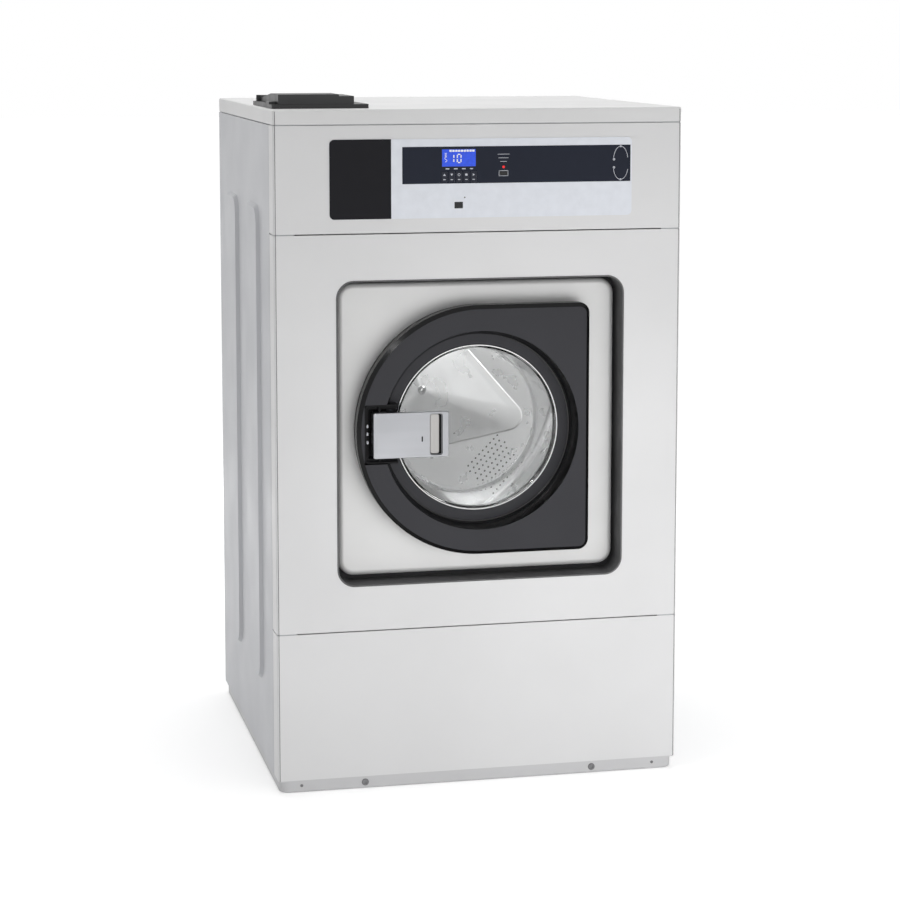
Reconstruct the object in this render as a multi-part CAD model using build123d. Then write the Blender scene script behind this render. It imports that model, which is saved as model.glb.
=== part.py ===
from build123d import *
import math
import os

# Front-loading washer-extractor. All lengths are in millimetres.
# The origin is the middle of the footprint on the floor. +X is to the right
# as seen from the front, +Y runs back into the machine, +Z is up.

# Cabinet: its width, depth and height follow from what stands in it
side_gap = 58.0
rear_gap = 22.0
sheet = 1.5
seam = 2.0
panel_return = 45.0
panel_corner_radius = 4.0
panel_flange = 14.0
lid_height = 24.0
lid_edge_radius = 3.0
lower_seam_z = 271.0
opening_margin_below = 75.5
opening_margin_above = 76.5
overrun = 2.0
join_gap = 0.3

# Base frame: a skid rail on the floor under a ring of channels
rail_height = 20.0
rail_width = 50.0
rail_setback = 3.0
rail_corner_radius = 18.0
rail_edge_radius = 4.0
channel_height = 50.0
channel_wall = 4.0
anchor_hole_radius = 7.0
anchor_inset = 28.0
beam_inset = 120.0
beam_width = 60.0
screw_head_radius = 6.0
screw_head_thickness = 2.0
screw_shank_radius = 2.5
screw_shank_length = 9.0
rail_screw_inset = 148.0
rail_screw_z = 11.0

# Upper frame: corner posts and a ring under the lid
post_leg = 32.0
post_wall = 2.5
ring_leg = 24.0

# Side panels with two raised fields each
field_width = 143.0
field_margin_below = 129.5
field_margin_above = 138.5
field_rise = 6.0
field_radius = 36.0
front_field_inset = 226.0
rear_field_inset = 181.0
field_slope = 5.0

# Rear panel and what it carries
service_inset = 135.0
service_height = 420.0
service_middle_z = 560.0
service_overlap = 15.0
service_screw_inset = 7.0
inlet_drop = 97.0
inlet_spacing = 70.0
inlet_inset = 165.0
inlet_thread_radius = 13.2
inlet_thread_length = 16.0
inlet_flange_radius = 19.0
inlet_flange_thickness = 6.0
inlet_body_radius = 15.0
inlet_body_length = 50.0
inlet_bore_radius = 8.0
solenoid_radius = 14.0
solenoid_height = 34.0
hose_radius = 9.0
hose_bend = 40.0
gland_inset = 135.0
gland_drop = 157.0
gland_radius = 14.0
gland_length = 22.0
gland_bore_radius = 6.0
gland_nut_radius = 18.0
gland_nut_length = 7.0

# Front opening, its rubber gaiter and the sunk stainless plate
opening_gap_left = 33.0
opening_gap_right = 60.0
opening_gap_below = 46.5
opening_gap_above = 44.5
opening_radius = 30.0
opening_flange = 11.0
gaiter_wall = 2.5
gaiter_depth = 56.0
gaiter_proud = 0.6
plate_gap = 8.0
plate_bottom_gap = 12.0
plate_sink = 32.0
plate_roll = 9.0
plate_return = 20.0
plate_corner_radius = 26.0
plate_hole_gap = 5.0

# Control panel
fascia_inset_left = 92.2
fascia_inset_right = 86.4
fascia_height = 130.0
fascia_margin_below = 24.0
fascia_margin_above = 49.0
fascia_thickness = 0.8
fascia_radius = 8.0
badge_width = 102.2
print_thickness = 0.3
strip_gap = 18.6
strip_inset_right = 2.6
strip_drop = 13.0
strip_height = 60.5
display_inset = 65.8
display_width = 58.0
display_height = 29.5
display_drop = 3.8
key_count = 5
key_inset = 4.6
key_pitch = 12.3
key_width = 9.4
key_height = 17.0
key_drop = 7.8
key_proud = 0.5
key_lip = 1.0
key_travel = 0.6
led_gap = 46.5
led_rise = 26.2
led_radius = 2.2
board_width = 180.0
board_height = 96.0
board_thickness = 2.0
board_gap = 9.0
board_post_radius = 3.0
switch_size = 5.0

# Detergent dispenser in the lid
dispenser_overhang_left = 22.0
dispenser_overhang_right = 28.0
dispenser_overhang_front = 19.0
dispenser_overhang_back = 24.0
dispenser_flange = 7.0
hopper_width = 111.0
hopper_length = 172.0
hopper_front = 64.0
hopper_depth = 150.0
hopper_wall = 2.5
hopper_outlet_radius = 22.0
hopper_outlet_length = 22.0
tray_clearance = 1.0
tray_depth = 80.0
tray_wall = 2.0
tray_hole_radius = 5.0
flap_overhang_left = 11.6
flap_overhang_right = 3.0
flap_overhang_back = 4.0
flap_height = 16.0
flap_flat = 78.0
flap_back_height = 5.0
flap_step_width = 25.0
flap_step = 3.0
flap_wall = 2.5
flap_tab_width = 34.0
flap_tab_length = 30.0
flap_tab_thickness = 4.0
flap_tab_overhang = 13.0
flap_pin_radius = 2.5
flap_barrel_radius = 5.0
flap_lug_thickness = 6.0

# Tub and drum
tub_gap = 22.0
tub_wall = 2.0
tub_front_y = 95.0
tub_front_gap = 18.0
tub_back_gap = 22.0
tub_end_wall = 4.0
tub_neck_overlap = 6.0
tub_neck_length = 33.0
standoff_radius = 9.0
standoff_inset = 35.3
tub_inlet_radius = 24.0
tub_inlet_length = 14.0
tub_inlet_inset = 25.5
sump_x = -90.0
sump_inset = 122.0
sump_radius = 32.0
sump_length = 28.0
sump_wall = 2.0
drum_radius = 265.0
drum_length = 387.0
drum_wall = 1.5
drum_mouth_gap = 2.0
drum_lip_length = 10.0
star_height = 28.0
star_rim = 41.0
star_foot_corner = 25.0
star_head_radius = 24.0
star_head_corner = 6.0
star_angle = -19.0
back_hole_radius = 1.8
back_hole_pitch = 10.0
back_hole_rows = 8
back_hole_columns = 9
back_patch_inset = 55.0
lifter_base = 62.0
lifter_top = 26.0
lifter_height = 62.0
lifter_foot = 8.0
lifter_foot_radius = 13.0
lifter_head_radius = 9.0
lifter_wall = 2.0
lifter_end_gap = 28.5
spider_thickness = 9.0
spider_hub_radius = 46.0
spider_tip_radius = 20.0
spider_angle = 15.0
shaft_radius = 20.0
shaft_end_gap = 6.0
shaft_clearance = 0.05

# Drain line under the tub
drain_radius = 25.0
drain_wall = 2.0
drain_z = 118.0
drain_valve_radius = 38.0
drain_valve_top_z = 190.0
drain_stub = 34.0
drain_collar = 6.0
drain_collar_thickness = 4.0
drain_foot = 8.0

# Bearings and drive
housing_radius = 55.0
housing_flange_radius = 120.0
housing_flange = 8.0
housing_length = 74.0
bearing_radius = 42.0
bearing_width = 20.0
pulley_gap = 10.0
pulley_width = 28.0
pulley_radius = 145.0
pulley_rim = 10.0
pulley_hub_radius = 34.0
pulley_web = 8.0
pulley_window_radius = 34.0
motor_pulley_radius = 29.0
motor_spring_gap = 32.5
motor_z = 166.0
motor_radius = 68.0
motor_length = 220.0
motor_pulley_gap = 26.0
motor_shaft_radius = 12.0
motor_shaft_depth = 40.0
motor_foot_width = 80.0
motor_foot_length = 150.0
belt_thickness = 4.0
belt_width = 24.0
belt_clearance = 0.3

# Cradle, springs and dampers
cradle_top_z = 268.0
cradle_bottom_z = 240.0
cradle_wall = 8.0
cradle_inset_front = 25.0
cradle_inset_back = 22.0
saddle_inset = 50.0
spring_radius = 30.0
spring_wire = 4.5
spring_turns = 6
spring_inset_front = 30.0
spring_inset_back = 20.0
damper_tube_radius = 14.0
damper_tube_bore = 10.0
damper_tube_height = 110.0
damper_rod_radius = 9.92
damper_rod_depth = 60.0

# Door: a flat-sided cover over a ring that holds the bowl glass
door_rim_width = 34.0
door_flat_cut = 23.0
door_corner_radius = 18.0
door_front = -8.0
door_back = 30.0
door_bevel = 7.0
door_step = 1.5
door_frame_depth = 15.0
cover_wall = 3.0
cover_mouth_lap = 8.5
ring_inner_radius = 141.0
ring_width = 35.0
ring_face_y = 28.0
ring_back_y = 44.0
ring_seat_width = 16.0
glass_wall = 6.0
bowl_depth = 96.0
bowl_taper = 12.0
bowl_corner_radius = 12.0
seal_lip = 6.0
seal_overlap = 6.0
notch_inset = 12.3
notch_width = 57.7
notch_reach_below = 50.5
notch_reach_above = 49.0
notch_floor_y = 20.0

# Door hinge, handle and latch
hinge_inset = 10.0
hinge_y = 6.0
hinge_pin_radius = 4.0
hinge_reach_z = 120.0
hinge_lug_thickness = 8.0
hinge_eye_radius = 6.5
hinge_knuckle_height = 16.0
hinge_gap = 0.5
handle_gap = 13.7
handle_length = 127.0
handle_reach_below = 40.0
handle_reach_above = 36.0
handle_front = -16.0
handle_thickness = 9.0
handle_root_depth = 26.0
handle_root_width = 26.0
handle_edge_radius = 2.5
handle_pocket_width = 21.9
handle_pocket_inset = 10.7
handle_pocket_depth = 5.0
handle_pocket_margin = 3.0
handle_pin_inset = 13.0
handle_pin_y = 2.0
handle_pin_radius = 3.0
pin_embed = 2.5
latch_pin_gap = 5.7
latch_pin_y = 25.0
latch_pin_radius = 2.5
latch_eye_radius = 6.0
latch_height = 8.0
latch_room_half_height = 4.5
latch_reach = 29.0
latch_width = 7.0
latch_nose = 5.0
latch_nose_length = 7.0
keeper_reach_left = 15.5
keeper_reach_right = 13.5
keeper_half_height = 22.0
keeper_front_y = 48.0
keeper_back_y = 74.0
keeper_wall = 2.5
keeper_slot_half_height = 9.0

# Radii of the door and of what it closes, from the glass outwards
bowl_bottom_radius = ring_inner_radius - bowl_taper
ring_outer_radius = ring_inner_radius + ring_width
ring_seat_radius = ring_outer_radius - ring_seat_width
cover_mouth_radius = ring_outer_radius - cover_mouth_lap
door_radius = ring_outer_radius + door_rim_width
door_flat_x = door_radius - door_flat_cut
plate_hole_radius = ring_outer_radius + plate_hole_gap
tub_neck_radius = ring_outer_radius - tub_neck_overlap
drum_mouth_radius = tub_neck_radius + drum_mouth_gap

# Places up the machine, from the floor
frame_top_z = rail_height + channel_height
beam_top_z = frame_top_z - channel_wall
panel_bottom_z = rail_height + seam
opening_bottom = lower_seam_z + opening_margin_below
axis_z = opening_bottom + opening_gap_below + door_radius
opening_top = axis_z + door_radius + opening_gap_above
upper_seam_z = opening_top + opening_margin_above
fascia_bottom = upper_seam_z + fascia_margin_below
fascia_top = fascia_bottom + fascia_height
cabinet_height = fascia_top + fascia_margin_above
lid_bottom_z = cabinet_height - lid_height
lid_under_z = cabinet_height - sheet
panel_top_z = lid_bottom_z - seam
field_bottom = panel_bottom_z + field_margin_below
field_height = panel_top_z - field_margin_above - field_bottom
inlet_z = cabinet_height - inlet_drop
gland_z = cabinet_height - gland_drop
hopper_bottom_z = cabinet_height - hopper_depth

# Places across the machine, from its middle
tub_radius = drum_radius + tub_gap
half_width = tub_radius + side_gap
cabinet_width = 2 * half_width
side_in = half_width - sheet
service_width = cabinet_width - 2 * service_inset
inlet_x = inlet_inset - half_width
gland_x = half_width - gland_inset
rail_screw_x = half_width - rail_screw_inset
beam_x = half_width - beam_inset
motor_x = beam_x - spring_radius - spring_wire - motor_spring_gap - motor_radius
opening_left = -door_radius - opening_gap_left
opening_right = door_flat_x + opening_gap_right

# Places into the machine, from its front plane
drum_front_y = tub_front_y + tub_front_gap
drum_back_y = drum_front_y + drum_length
tub_back_y = drum_back_y + tub_back_gap
housing_end_y = tub_back_y + housing_length
pulley_front_y = housing_end_y + pulley_gap
shaft_end_y = pulley_front_y + pulley_width + shaft_end_gap
cabinet_depth = shaft_end_y + rear_gap
motor_back_y = pulley_front_y - motor_pulley_gap
motor_front_y = motor_back_y - motor_length
sump_y = tub_back_y - sump_inset
cradle_front_y = tub_front_y + cradle_inset_front
cradle_back_y = tub_back_y - cradle_inset_back
saddle_front_y = cradle_front_y + saddle_inset
saddle_back_y = cradle_back_y - saddle_inset
spring_front_y = cradle_front_y + spring_inset_front
spring_back_y = cradle_back_y - spring_inset_back
damper_y = (spring_front_y + spring_back_y) / 2
rear_field_y = cabinet_depth - rear_field_inset
lifter_length = drum_length - 2 * lifter_end_gap
front_y = -cabinet_depth / 2
back_y = cabinet_depth / 2
front_in = front_y + sheet
back_in = back_y - sheet
rail_face_y = front_y + rail_setback
plate_y = front_y + plate_sink
fascia_y = front_y - fascia_thickness
strip_y = fascia_y - print_thickness

# Control panel: fascia, strip, display, keys and status light
fascia_left = fascia_inset_left - half_width
fascia_right = half_width - fascia_inset_right
strip_left = fascia_left + badge_width + strip_gap
strip_right = fascia_right - strip_inset_right
strip_top = fascia_top - strip_drop
strip_bottom = strip_top - strip_height
display_left = strip_left + display_inset
display_right = display_left + display_width
display_top = strip_top - display_drop
display_bottom = display_top - display_height
key_first_x = display_left + key_inset
key_middle_z = display_bottom - key_drop - key_height / 2
led_x = display_right + led_gap
led_z = strip_bottom + led_rise

# Dispenser, over the tub's inlet
tub_inlet_x = tub_inlet_inset - tub_radius
tub_inlet_y = front_y + hopper_front + hopper_length / 2
tub_side_rise = math.sqrt(tub_radius ** 2 - (tub_inlet_x + tub_inlet_radius) ** 2)
tub_inlet_top_z = axis_z + tub_side_rise + tub_inlet_length
hopper_left = tub_inlet_x - hopper_width / 2
hopper_right = tub_inlet_x + hopper_width / 2
hopper_back = hopper_front + hopper_length
dispenser_left = hopper_left - dispenser_overhang_left
dispenser_right = hopper_right + dispenser_overhang_right
dispenser_front = hopper_front - dispenser_overhang_front
dispenser_back = hopper_back + dispenser_overhang_back
flap_left = hopper_left - flap_overhang_left
flap_right = hopper_right + flap_overhang_right
flap_back = hopper_back + flap_overhang_back
flap_pin_y = front_y + flap_back + flap_barrel_radius
flap_pin_z = cabinet_height + dispenser_flange + join_gap + flap_barrel_radius

# Drum, tub and cradle
star_foot_radius = drum_radius - star_rim
back_patch_reach = drum_radius - back_patch_inset
standoff_reach = (tub_radius - standoff_inset) / math.sqrt(2)
sump_bottom_z = axis_z - tub_radius - sump_length

# Handle, latch and hinge, from the door's edges
hinge_x = door_flat_x - hinge_inset
notch_left = notch_inset - door_radius
notch_right = notch_left + notch_width
notch_bottom = axis_z - notch_reach_below
notch_top = axis_z + notch_reach_above
handle_left = notch_left + handle_gap
handle_right = handle_left + handle_length
handle_bottom = axis_z - handle_reach_below
handle_top = axis_z + handle_reach_above
handle_pocket_right = handle_right - handle_pocket_inset
handle_pocket_left = handle_pocket_right - handle_pocket_width
handle_pin_x = handle_left + handle_pin_inset
latch_pin_x = notch_left + latch_pin_gap
keeper_left = latch_pin_x - keeper_reach_left
keeper_right = latch_pin_x + keeper_reach_right


def span(a, b):
    """Two ends of a length, the lower one first."""
    return min(a, b), max(a, b)


def block(x0, x1, y0, y1, z0, z1):
    """A box between two faces along each axis."""
    middle = Pos((x0 + x1) / 2, (y0 + y1) / 2, (z0 + z1) / 2)
    return middle * Box(x1 - x0, y1 - y0, z1 - z0)


def disc(x, z, radius, y0, y1):
    """A cylinder whose axis runs front to back."""
    low_end = (Align.CENTER, Align.CENTER, Align.MIN)
    return Pos(x, y0, z) * Rot(-90, 0, 0) * Cylinder(radius, y1 - y0, align=low_end)


def upright(x, y, radius, z0, z1):
    """A cylinder that stands on its end."""
    low_end = (Align.CENTER, Align.CENTER, Align.MIN)
    return Pos(x, y, z0) * Cylinder(radius, z1 - z0, align=low_end)


def slab(outline, y0, y1):
    """An outline drawn in width and height, made solid from y0 back to y1."""
    plane = Plane(origin=(0, y1, 0), x_dir=(1, 0, 0), z_dir=(0, -1, 0))
    return extrude(plane * outline, amount=y1 - y0)


def turned(points):
    """A profile of radius and depth, turned about the drum's axis."""
    plane = Plane(origin=(0, front_y, axis_z), x_dir=(1, 0, 0), z_dir=(0, 0, 1))
    face = make_face(Polyline(*points, close=True))
    axis = Axis((0, front_y, axis_z), (0, 1, 0))
    return revolve(plane * face, axis=axis, revolution_arc=360)


def mirrored(shape):
    """The same shape on the other side of the machine."""
    return mirror(shape, about=Plane.YZ)


def rounded_rectangle(x0, x1, z0, z1, radius):
    """A rounded outline between two sides, a bottom and a top."""
    return Pos((x0 + x1) / 2, (z0 + z1) / 2) * RectangleRounded(x1 - x0, z1 - z0, radius)


def save(shape, name):
    """Write one named piece, or a group of like pieces, to its own file."""
    pieces = shape if isinstance(shape, (list, tuple)) else [shape]
    solids = [solid for piece in pieces for solid in piece.solids()]
    whole = solids[0] if len(solids) == 1 else Compound(children=solids)
    export_step(whole, f"parts/{name}.step")


def base_frame():
    """Skid rail, channel ring and the two spring beams, welded into one frame."""
    rail_half_x = half_width - rail_setback
    rail_half_y = cabinet_depth / 2 - rail_setback
    rail = block(-rail_half_x, rail_half_x, -rail_half_y, rail_half_y, 0, rail_height)
    rail = fillet(rail.edges().filter_by(Axis.Z), rail_corner_radius)
    rail = fillet(rail.edges().group_by(Axis.Z)[0], rail_edge_radius)
    rail -= block(
        -rail_half_x + rail_width, rail_half_x - rail_width,
        -rail_half_y + rail_width, rail_half_y - rail_width,
        -overrun, rail_height + overrun,
    )
    ring = block(-side_in, side_in, front_in, back_in, rail_height, frame_top_z)
    ring = fillet(ring.edges().filter_by(Axis.Z), panel_corner_radius)
    ring -= block(
        -side_in + rail_width, side_in - rail_width,
        front_in + rail_width, back_in - rail_width,
        rail_height - overrun, frame_top_z + overrun,
    )
    ring -= block(
        -side_in + channel_wall, side_in - channel_wall,
        front_in + channel_wall, back_in - channel_wall,
        rail_height + channel_wall, frame_top_z - channel_wall,
    )
    frame = rail + ring
    for side in (-1, 1):
        x = side * beam_x
        frame += block(
            x - beam_width / 2, x + beam_width / 2,
            front_in + channel_wall, back_in - channel_wall,
            rail_height + channel_wall, beam_top_z,
        )
    for side in (-1, 1):
        for end in (-1, 1):
            x = side * (half_width - anchor_inset)
            y = end * (cabinet_depth / 2 - anchor_inset)
            frame -= upright(x, y, anchor_hole_radius, -overrun, frame_top_z + overrun)
    for x in (-rail_screw_x, rail_screw_x):
        frame -= screw_shank(x, rail_face_y, rail_screw_z, 1)
    return frame


def angle_bar(corner_x, corner_y, x_run, y_run, z0, z1):
    """An upright angle section whose outer corner stands at the corner given."""
    bar = block(
        *span(corner_x, corner_x - x_run * post_leg), *span(corner_y, corner_y - y_run * post_leg),
        z0, z1,
    )
    outer = bar.edges().filter_by(Axis.Z).sort_by_distance((corner_x, corner_y, z0))[0]
    bar = fillet(outer, panel_corner_radius)
    return bar - block(
        *span(corner_x - x_run * post_wall, corner_x - x_run * (post_leg + overrun)),
        *span(corner_y - y_run * post_wall, corner_y - y_run * (post_leg + overrun)),
        z0 - overrun, z1 + overrun,
    )


def upper_frame():
    """Four corner posts of angle section and a ring of angle under the lid."""
    low_z = lid_under_z - ring_leg
    bars = []
    for side in (-1, 1):
        for end in (-1, 1):
            bars.append(angle_bar(side * side_in, end * back_in, side, end, frame_top_z, lid_under_z))
        side_bar = block(
            *span(side * side_in, side * (side_in - ring_leg)),
            front_in + post_leg, back_in - post_leg, low_z, lid_under_z,
        )
        bars.append(side_bar - block(
            *span(side * (side_in - post_wall), side * (side_in - ring_leg - overrun)),
            front_in, back_in, low_z - overrun, lid_under_z - post_wall,
        ))
    for end in (-1, 1):
        cross_bar = block(
            -side_in + post_leg, side_in - post_leg,
            *span(end * back_in, end * (back_in - ring_leg)), low_z, lid_under_z,
        )
        bars.append(cross_bar - block(
            -side_in, side_in,
            *span(end * (back_in - post_wall), end * (back_in - ring_leg - overrun)),
            low_z - overrun, lid_under_z - post_wall,
        ))
    return bars


def folded_front(z0, z1, flanged=(True, True)):
    """A front panel with side returns and, bottom and top, inward flanges."""
    shell = block(-half_width, half_width, front_y, front_y + panel_return, z0, z1)
    shell = fillet(
        shell.edges().filter_by(Axis.Z).group_by(Axis.Y)[0], panel_corner_radius
    )
    hollow = block(
        -side_in, side_in, front_in, front_y + panel_return + overrun,
        z0 - overrun, z1 + overrun,
    )
    hollow = fillet(
        hollow.edges().filter_by(Axis.Z).group_by(Axis.Y)[0],
        panel_corner_radius - sheet,
    )
    shell -= hollow
    reach = side_in - post_leg - seam
    for has_flange, low in zip(flanged, (z0, z1 - sheet)):
        if has_flange:
            shell += block(
                -reach, reach, front_in - sheet / 2, front_in + panel_flange, low, low + sheet
            )
    return shell


def opening_outline(inset):
    """The front opening's outline, drawn in by an inset."""
    return rounded_rectangle(
        opening_left + inset, opening_right - inset,
        opening_bottom + inset, opening_top - inset, opening_radius - inset,
    )


def front_panel():
    panel = folded_front(lower_seam_z + seam / 2, upper_seam_z - seam / 2)
    panel += slab(opening_outline(-sheet), front_y + sheet / 2, front_y + opening_flange)
    return panel - slab(opening_outline(0), front_y - overrun, front_y + opening_flange + overrun)


def lower_panel():
    return folded_front(panel_bottom_z, lower_seam_z - seam / 2, (False, True))


def control_panel():
    """Top front panel, cut for the display, the keys and the status light."""
    panel = folded_front(upper_seam_z + seam / 2, panel_top_z)
    window = block(
        display_left, display_right, front_y - overrun, front_in + overrun,
        display_bottom, display_top,
    )
    keys = block(
        key_first_x - key_pitch, key_first_x + key_count * key_pitch,
        front_y - overrun, front_in + overrun,
        key_middle_z - key_height / 2 - key_lip - join_gap,
        key_middle_z + key_height / 2 + key_lip + join_gap,
    )
    return panel - window - keys - disc(led_x, led_z, led_radius, front_y - overrun, front_in + overrun)


def opening_gaiter():
    """Rubber skirt that lines the front opening back past the sunk plate."""
    back = front_y + gaiter_depth
    skirt = slab(opening_outline(0), front_y - gaiter_proud, back)
    return skirt - slab(
        opening_outline(gaiter_wall), front_y - gaiter_proud - overrun, back + overrun
    )


def field_form(plane, rise):
    """A pressed field between its foot on the sheet and its smaller flat top."""
    slope = field_slope
    foot = RectangleRounded(field_width, field_height, field_radius)
    top = RectangleRounded(field_width - 2 * slope, field_height - 2 * slope, field_radius - slope)
    return extrude(plane * foot, amount=-sheet / 2) + loft([plane * foot, plane.offset(rise) * top])


def raised_field(y_middle):
    """One raised field of the left side panel: its outside and its hollow."""
    outside = Plane(
        origin=(-half_width, y_middle, field_bottom + field_height / 2),
        x_dir=(0, 1, 0), z_dir=(-1, 0, 0),
    )
    inside = outside.offset(-sheet)
    return field_form(outside, field_rise), field_form(inside, field_rise)


def left_side_panel():
    panel = block(
        -half_width, -side_in, front_y + panel_return + seam, back_y,
        panel_bottom_z, panel_top_z,
    )
    for y in (front_field_inset, rear_field_y):
        high, low = raised_field(front_y + y)
        panel = panel + high - low
    return panel


def top_lid():
    """Folded lid with a cut-out for the dispenser."""
    lid = block(-half_width, half_width, front_y, back_y, lid_bottom_z, cabinet_height)
    lid = fillet(lid.edges().filter_by(Axis.Z), panel_corner_radius)
    lid = fillet(lid.edges().group_by(Axis.Z)[-1], lid_edge_radius)
    hollow = block(
        -side_in, side_in, front_in, back_in, lid_bottom_z - overrun, lid_under_z
    )
    hollow = fillet(hollow.edges().filter_by(Axis.Z), panel_corner_radius - sheet)
    lid -= hollow
    return lid - block(
        hopper_left - join_gap, hopper_right + join_gap,
        front_y + hopper_front - join_gap, front_y + hopper_back + join_gap,
        lid_under_z - overrun, cabinet_height + overrun,
    )


def service_screw_holes():
    return [screw_shank(x, back_y + sheet, z, -1) for x, z in service_screw_places()]


def service_hole():
    return rounded_rectangle(
        -service_width / 2, service_width / 2,
        service_middle_z - service_height / 2, service_middle_z + service_height / 2,
        panel_flange,
    )


def rear_panel():
    """Rear sheet with its service hole and holes for valves, gland and drain."""
    panel = block(-side_in, side_in, back_in, back_y, panel_bottom_z, panel_top_z)
    panel -= slab(service_hole(), back_in - overrun, back_y + overrun)
    for x in inlet_places():
        panel -= disc(x, inlet_z, inlet_body_radius, back_in - overrun, back_y + overrun)
    panel -= disc(gland_x, gland_z, gland_radius, back_in - overrun, back_y + overrun)
    panel -= disc(sump_x, drain_z, drain_radius + join_gap, back_in - overrun, back_y + overrun)
    return panel - service_screw_holes()


def rear_service_cover():
    outline = rounded_rectangle(
        -service_width / 2 - service_overlap, service_width / 2 + service_overlap,
        service_middle_z - service_height / 2 - service_overlap,
        service_middle_z + service_height / 2 + service_overlap,
        panel_flange,
    )
    return slab(outline, back_y, back_y + sheet) - service_screw_holes()


def inlet_places():
    return [inlet_x, inlet_x + inlet_spacing]


def screw_shank(x, y, z, inward):
    """A screw's shank from a face at y, to the rear or to the front."""
    return disc(x, z, screw_shank_radius, *span(y, y + inward * screw_shank_length))


def panel_screw(x, y, z, inward):
    """One screw whose head sits on a face at y."""
    head = disc(x, z, screw_head_radius, *span(y, y - inward * screw_head_thickness))
    return head + screw_shank(x, y, z, inward)


def service_screw_places():
    reach_x = service_width / 2 + service_screw_inset
    reach_z = service_height / 2 + service_screw_inset
    places = [(x, z) for x in (-reach_x, 0, reach_x) for z in (-reach_z, 0, reach_z)]
    places.remove((0, 0))
    return [(x, service_middle_z + z) for x, z in places]


def panel_screws():
    """Two screws on the front rail and eight round the rear service cover."""
    screws = [panel_screw(x, rail_face_y, rail_screw_z, 1) for x in (-rail_screw_x, rail_screw_x)]
    for x, z in service_screw_places():
        screws.append(panel_screw(x, back_y + sheet, z, -1))
    return screws


def fascia_cuts():
    """What passes through the fascia: display, keys and status light."""
    reach = front_y - fascia_thickness - print_thickness - overrun
    cuts = block(display_left, display_right, reach, front_y + overrun, display_bottom, display_top)
    for index in range(key_count):
        x = key_first_x + index * key_pitch
        cuts += block(
            x - key_width / 2 - join_gap, x + key_width / 2 + join_gap, reach, front_y + overrun,
            key_middle_z - key_height / 2 - join_gap, key_middle_z + key_height / 2 + join_gap,
        )
    return cuts + disc(led_x, led_z, led_radius, reach, front_y + overrun)


def control_fascia():
    label = rounded_rectangle(fascia_left, fascia_right, fascia_bottom, fascia_top, fascia_radius)
    return slab(label, fascia_y, front_y) - fascia_cuts()


def fascia_badge():
    """Dark square-cornered field at the left end of the fascia."""
    label = rounded_rectangle(fascia_left, fascia_right, fascia_bottom, fascia_top, fascia_radius)
    keep = block(
        fascia_left, fascia_left + badge_width, strip_y - overrun, fascia_y + overrun,
        fascia_bottom, fascia_top,
    )
    return slab(label, strip_y, fascia_y) & keep


def display_strip():
    strip = block(strip_left, strip_right, strip_y, fascia_y, strip_bottom, strip_top)
    return strip - fascia_cuts()


def display_window():
    """Lit display glass, with its module behind the panel down to the board."""
    glass = block(
        display_left, display_right, strip_y, front_in, display_bottom, display_top
    )
    module = block(
        display_left - overrun, display_right + overrun, front_in, front_in + board_gap,
        display_bottom, display_top + overrun,
    )
    return glass + module


def status_led():
    return disc(led_x, led_z, led_radius, strip_y - print_thickness, front_in + board_gap)


def control_key(index):
    """A key cap with a lip behind the fascia and a stem towards its switch."""
    x = key_first_x + index * key_pitch
    front = strip_y - key_proud
    lip_y = front_in + join_gap
    cap = block(
        x - key_width / 2, x + key_width / 2, front, lip_y + key_lip,
        key_middle_z - key_height / 2, key_middle_z + key_height / 2,
    )
    cap = fillet(cap.faces().sort_by(Axis.Y)[0].edges(), key_proud / 2)
    lip = block(
        x - key_width / 2 - key_lip, x + key_width / 2 + key_lip, lip_y, lip_y + key_lip,
        key_middle_z - key_height / 2 - key_lip, key_middle_z + key_height / 2 - key_lip,
    )
    return cap + lip


def control_board():
    """Circuit board on four posts behind the control panel, with key switches."""
    middle_x = (display_left + display_right) / 2
    middle_z = (strip_bottom + strip_top) / 2
    front = front_in + board_gap
    board = block(
        middle_x - board_width / 2, middle_x + board_width / 2, front, front + board_thickness,
        middle_z - board_height / 2, middle_z + board_height / 2,
    )
    for side in (-1, 1):
        for end in (-1, 1):
            x = middle_x + side * (board_width / 2 - 2 * board_post_radius)
            z = middle_z + end * (board_height / 2 - 2 * board_post_radius)
            board += disc(x, z, board_post_radius, front_in, front)
    key_back = front_in + join_gap + key_lip
    for index in range(key_count):
        x = key_first_x + index * key_pitch
        board += block(
            x - switch_size / 2, x + switch_size / 2, key_back + key_travel + join_gap, front,
            key_middle_z - switch_size, key_middle_z,
        )
    return board


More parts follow.
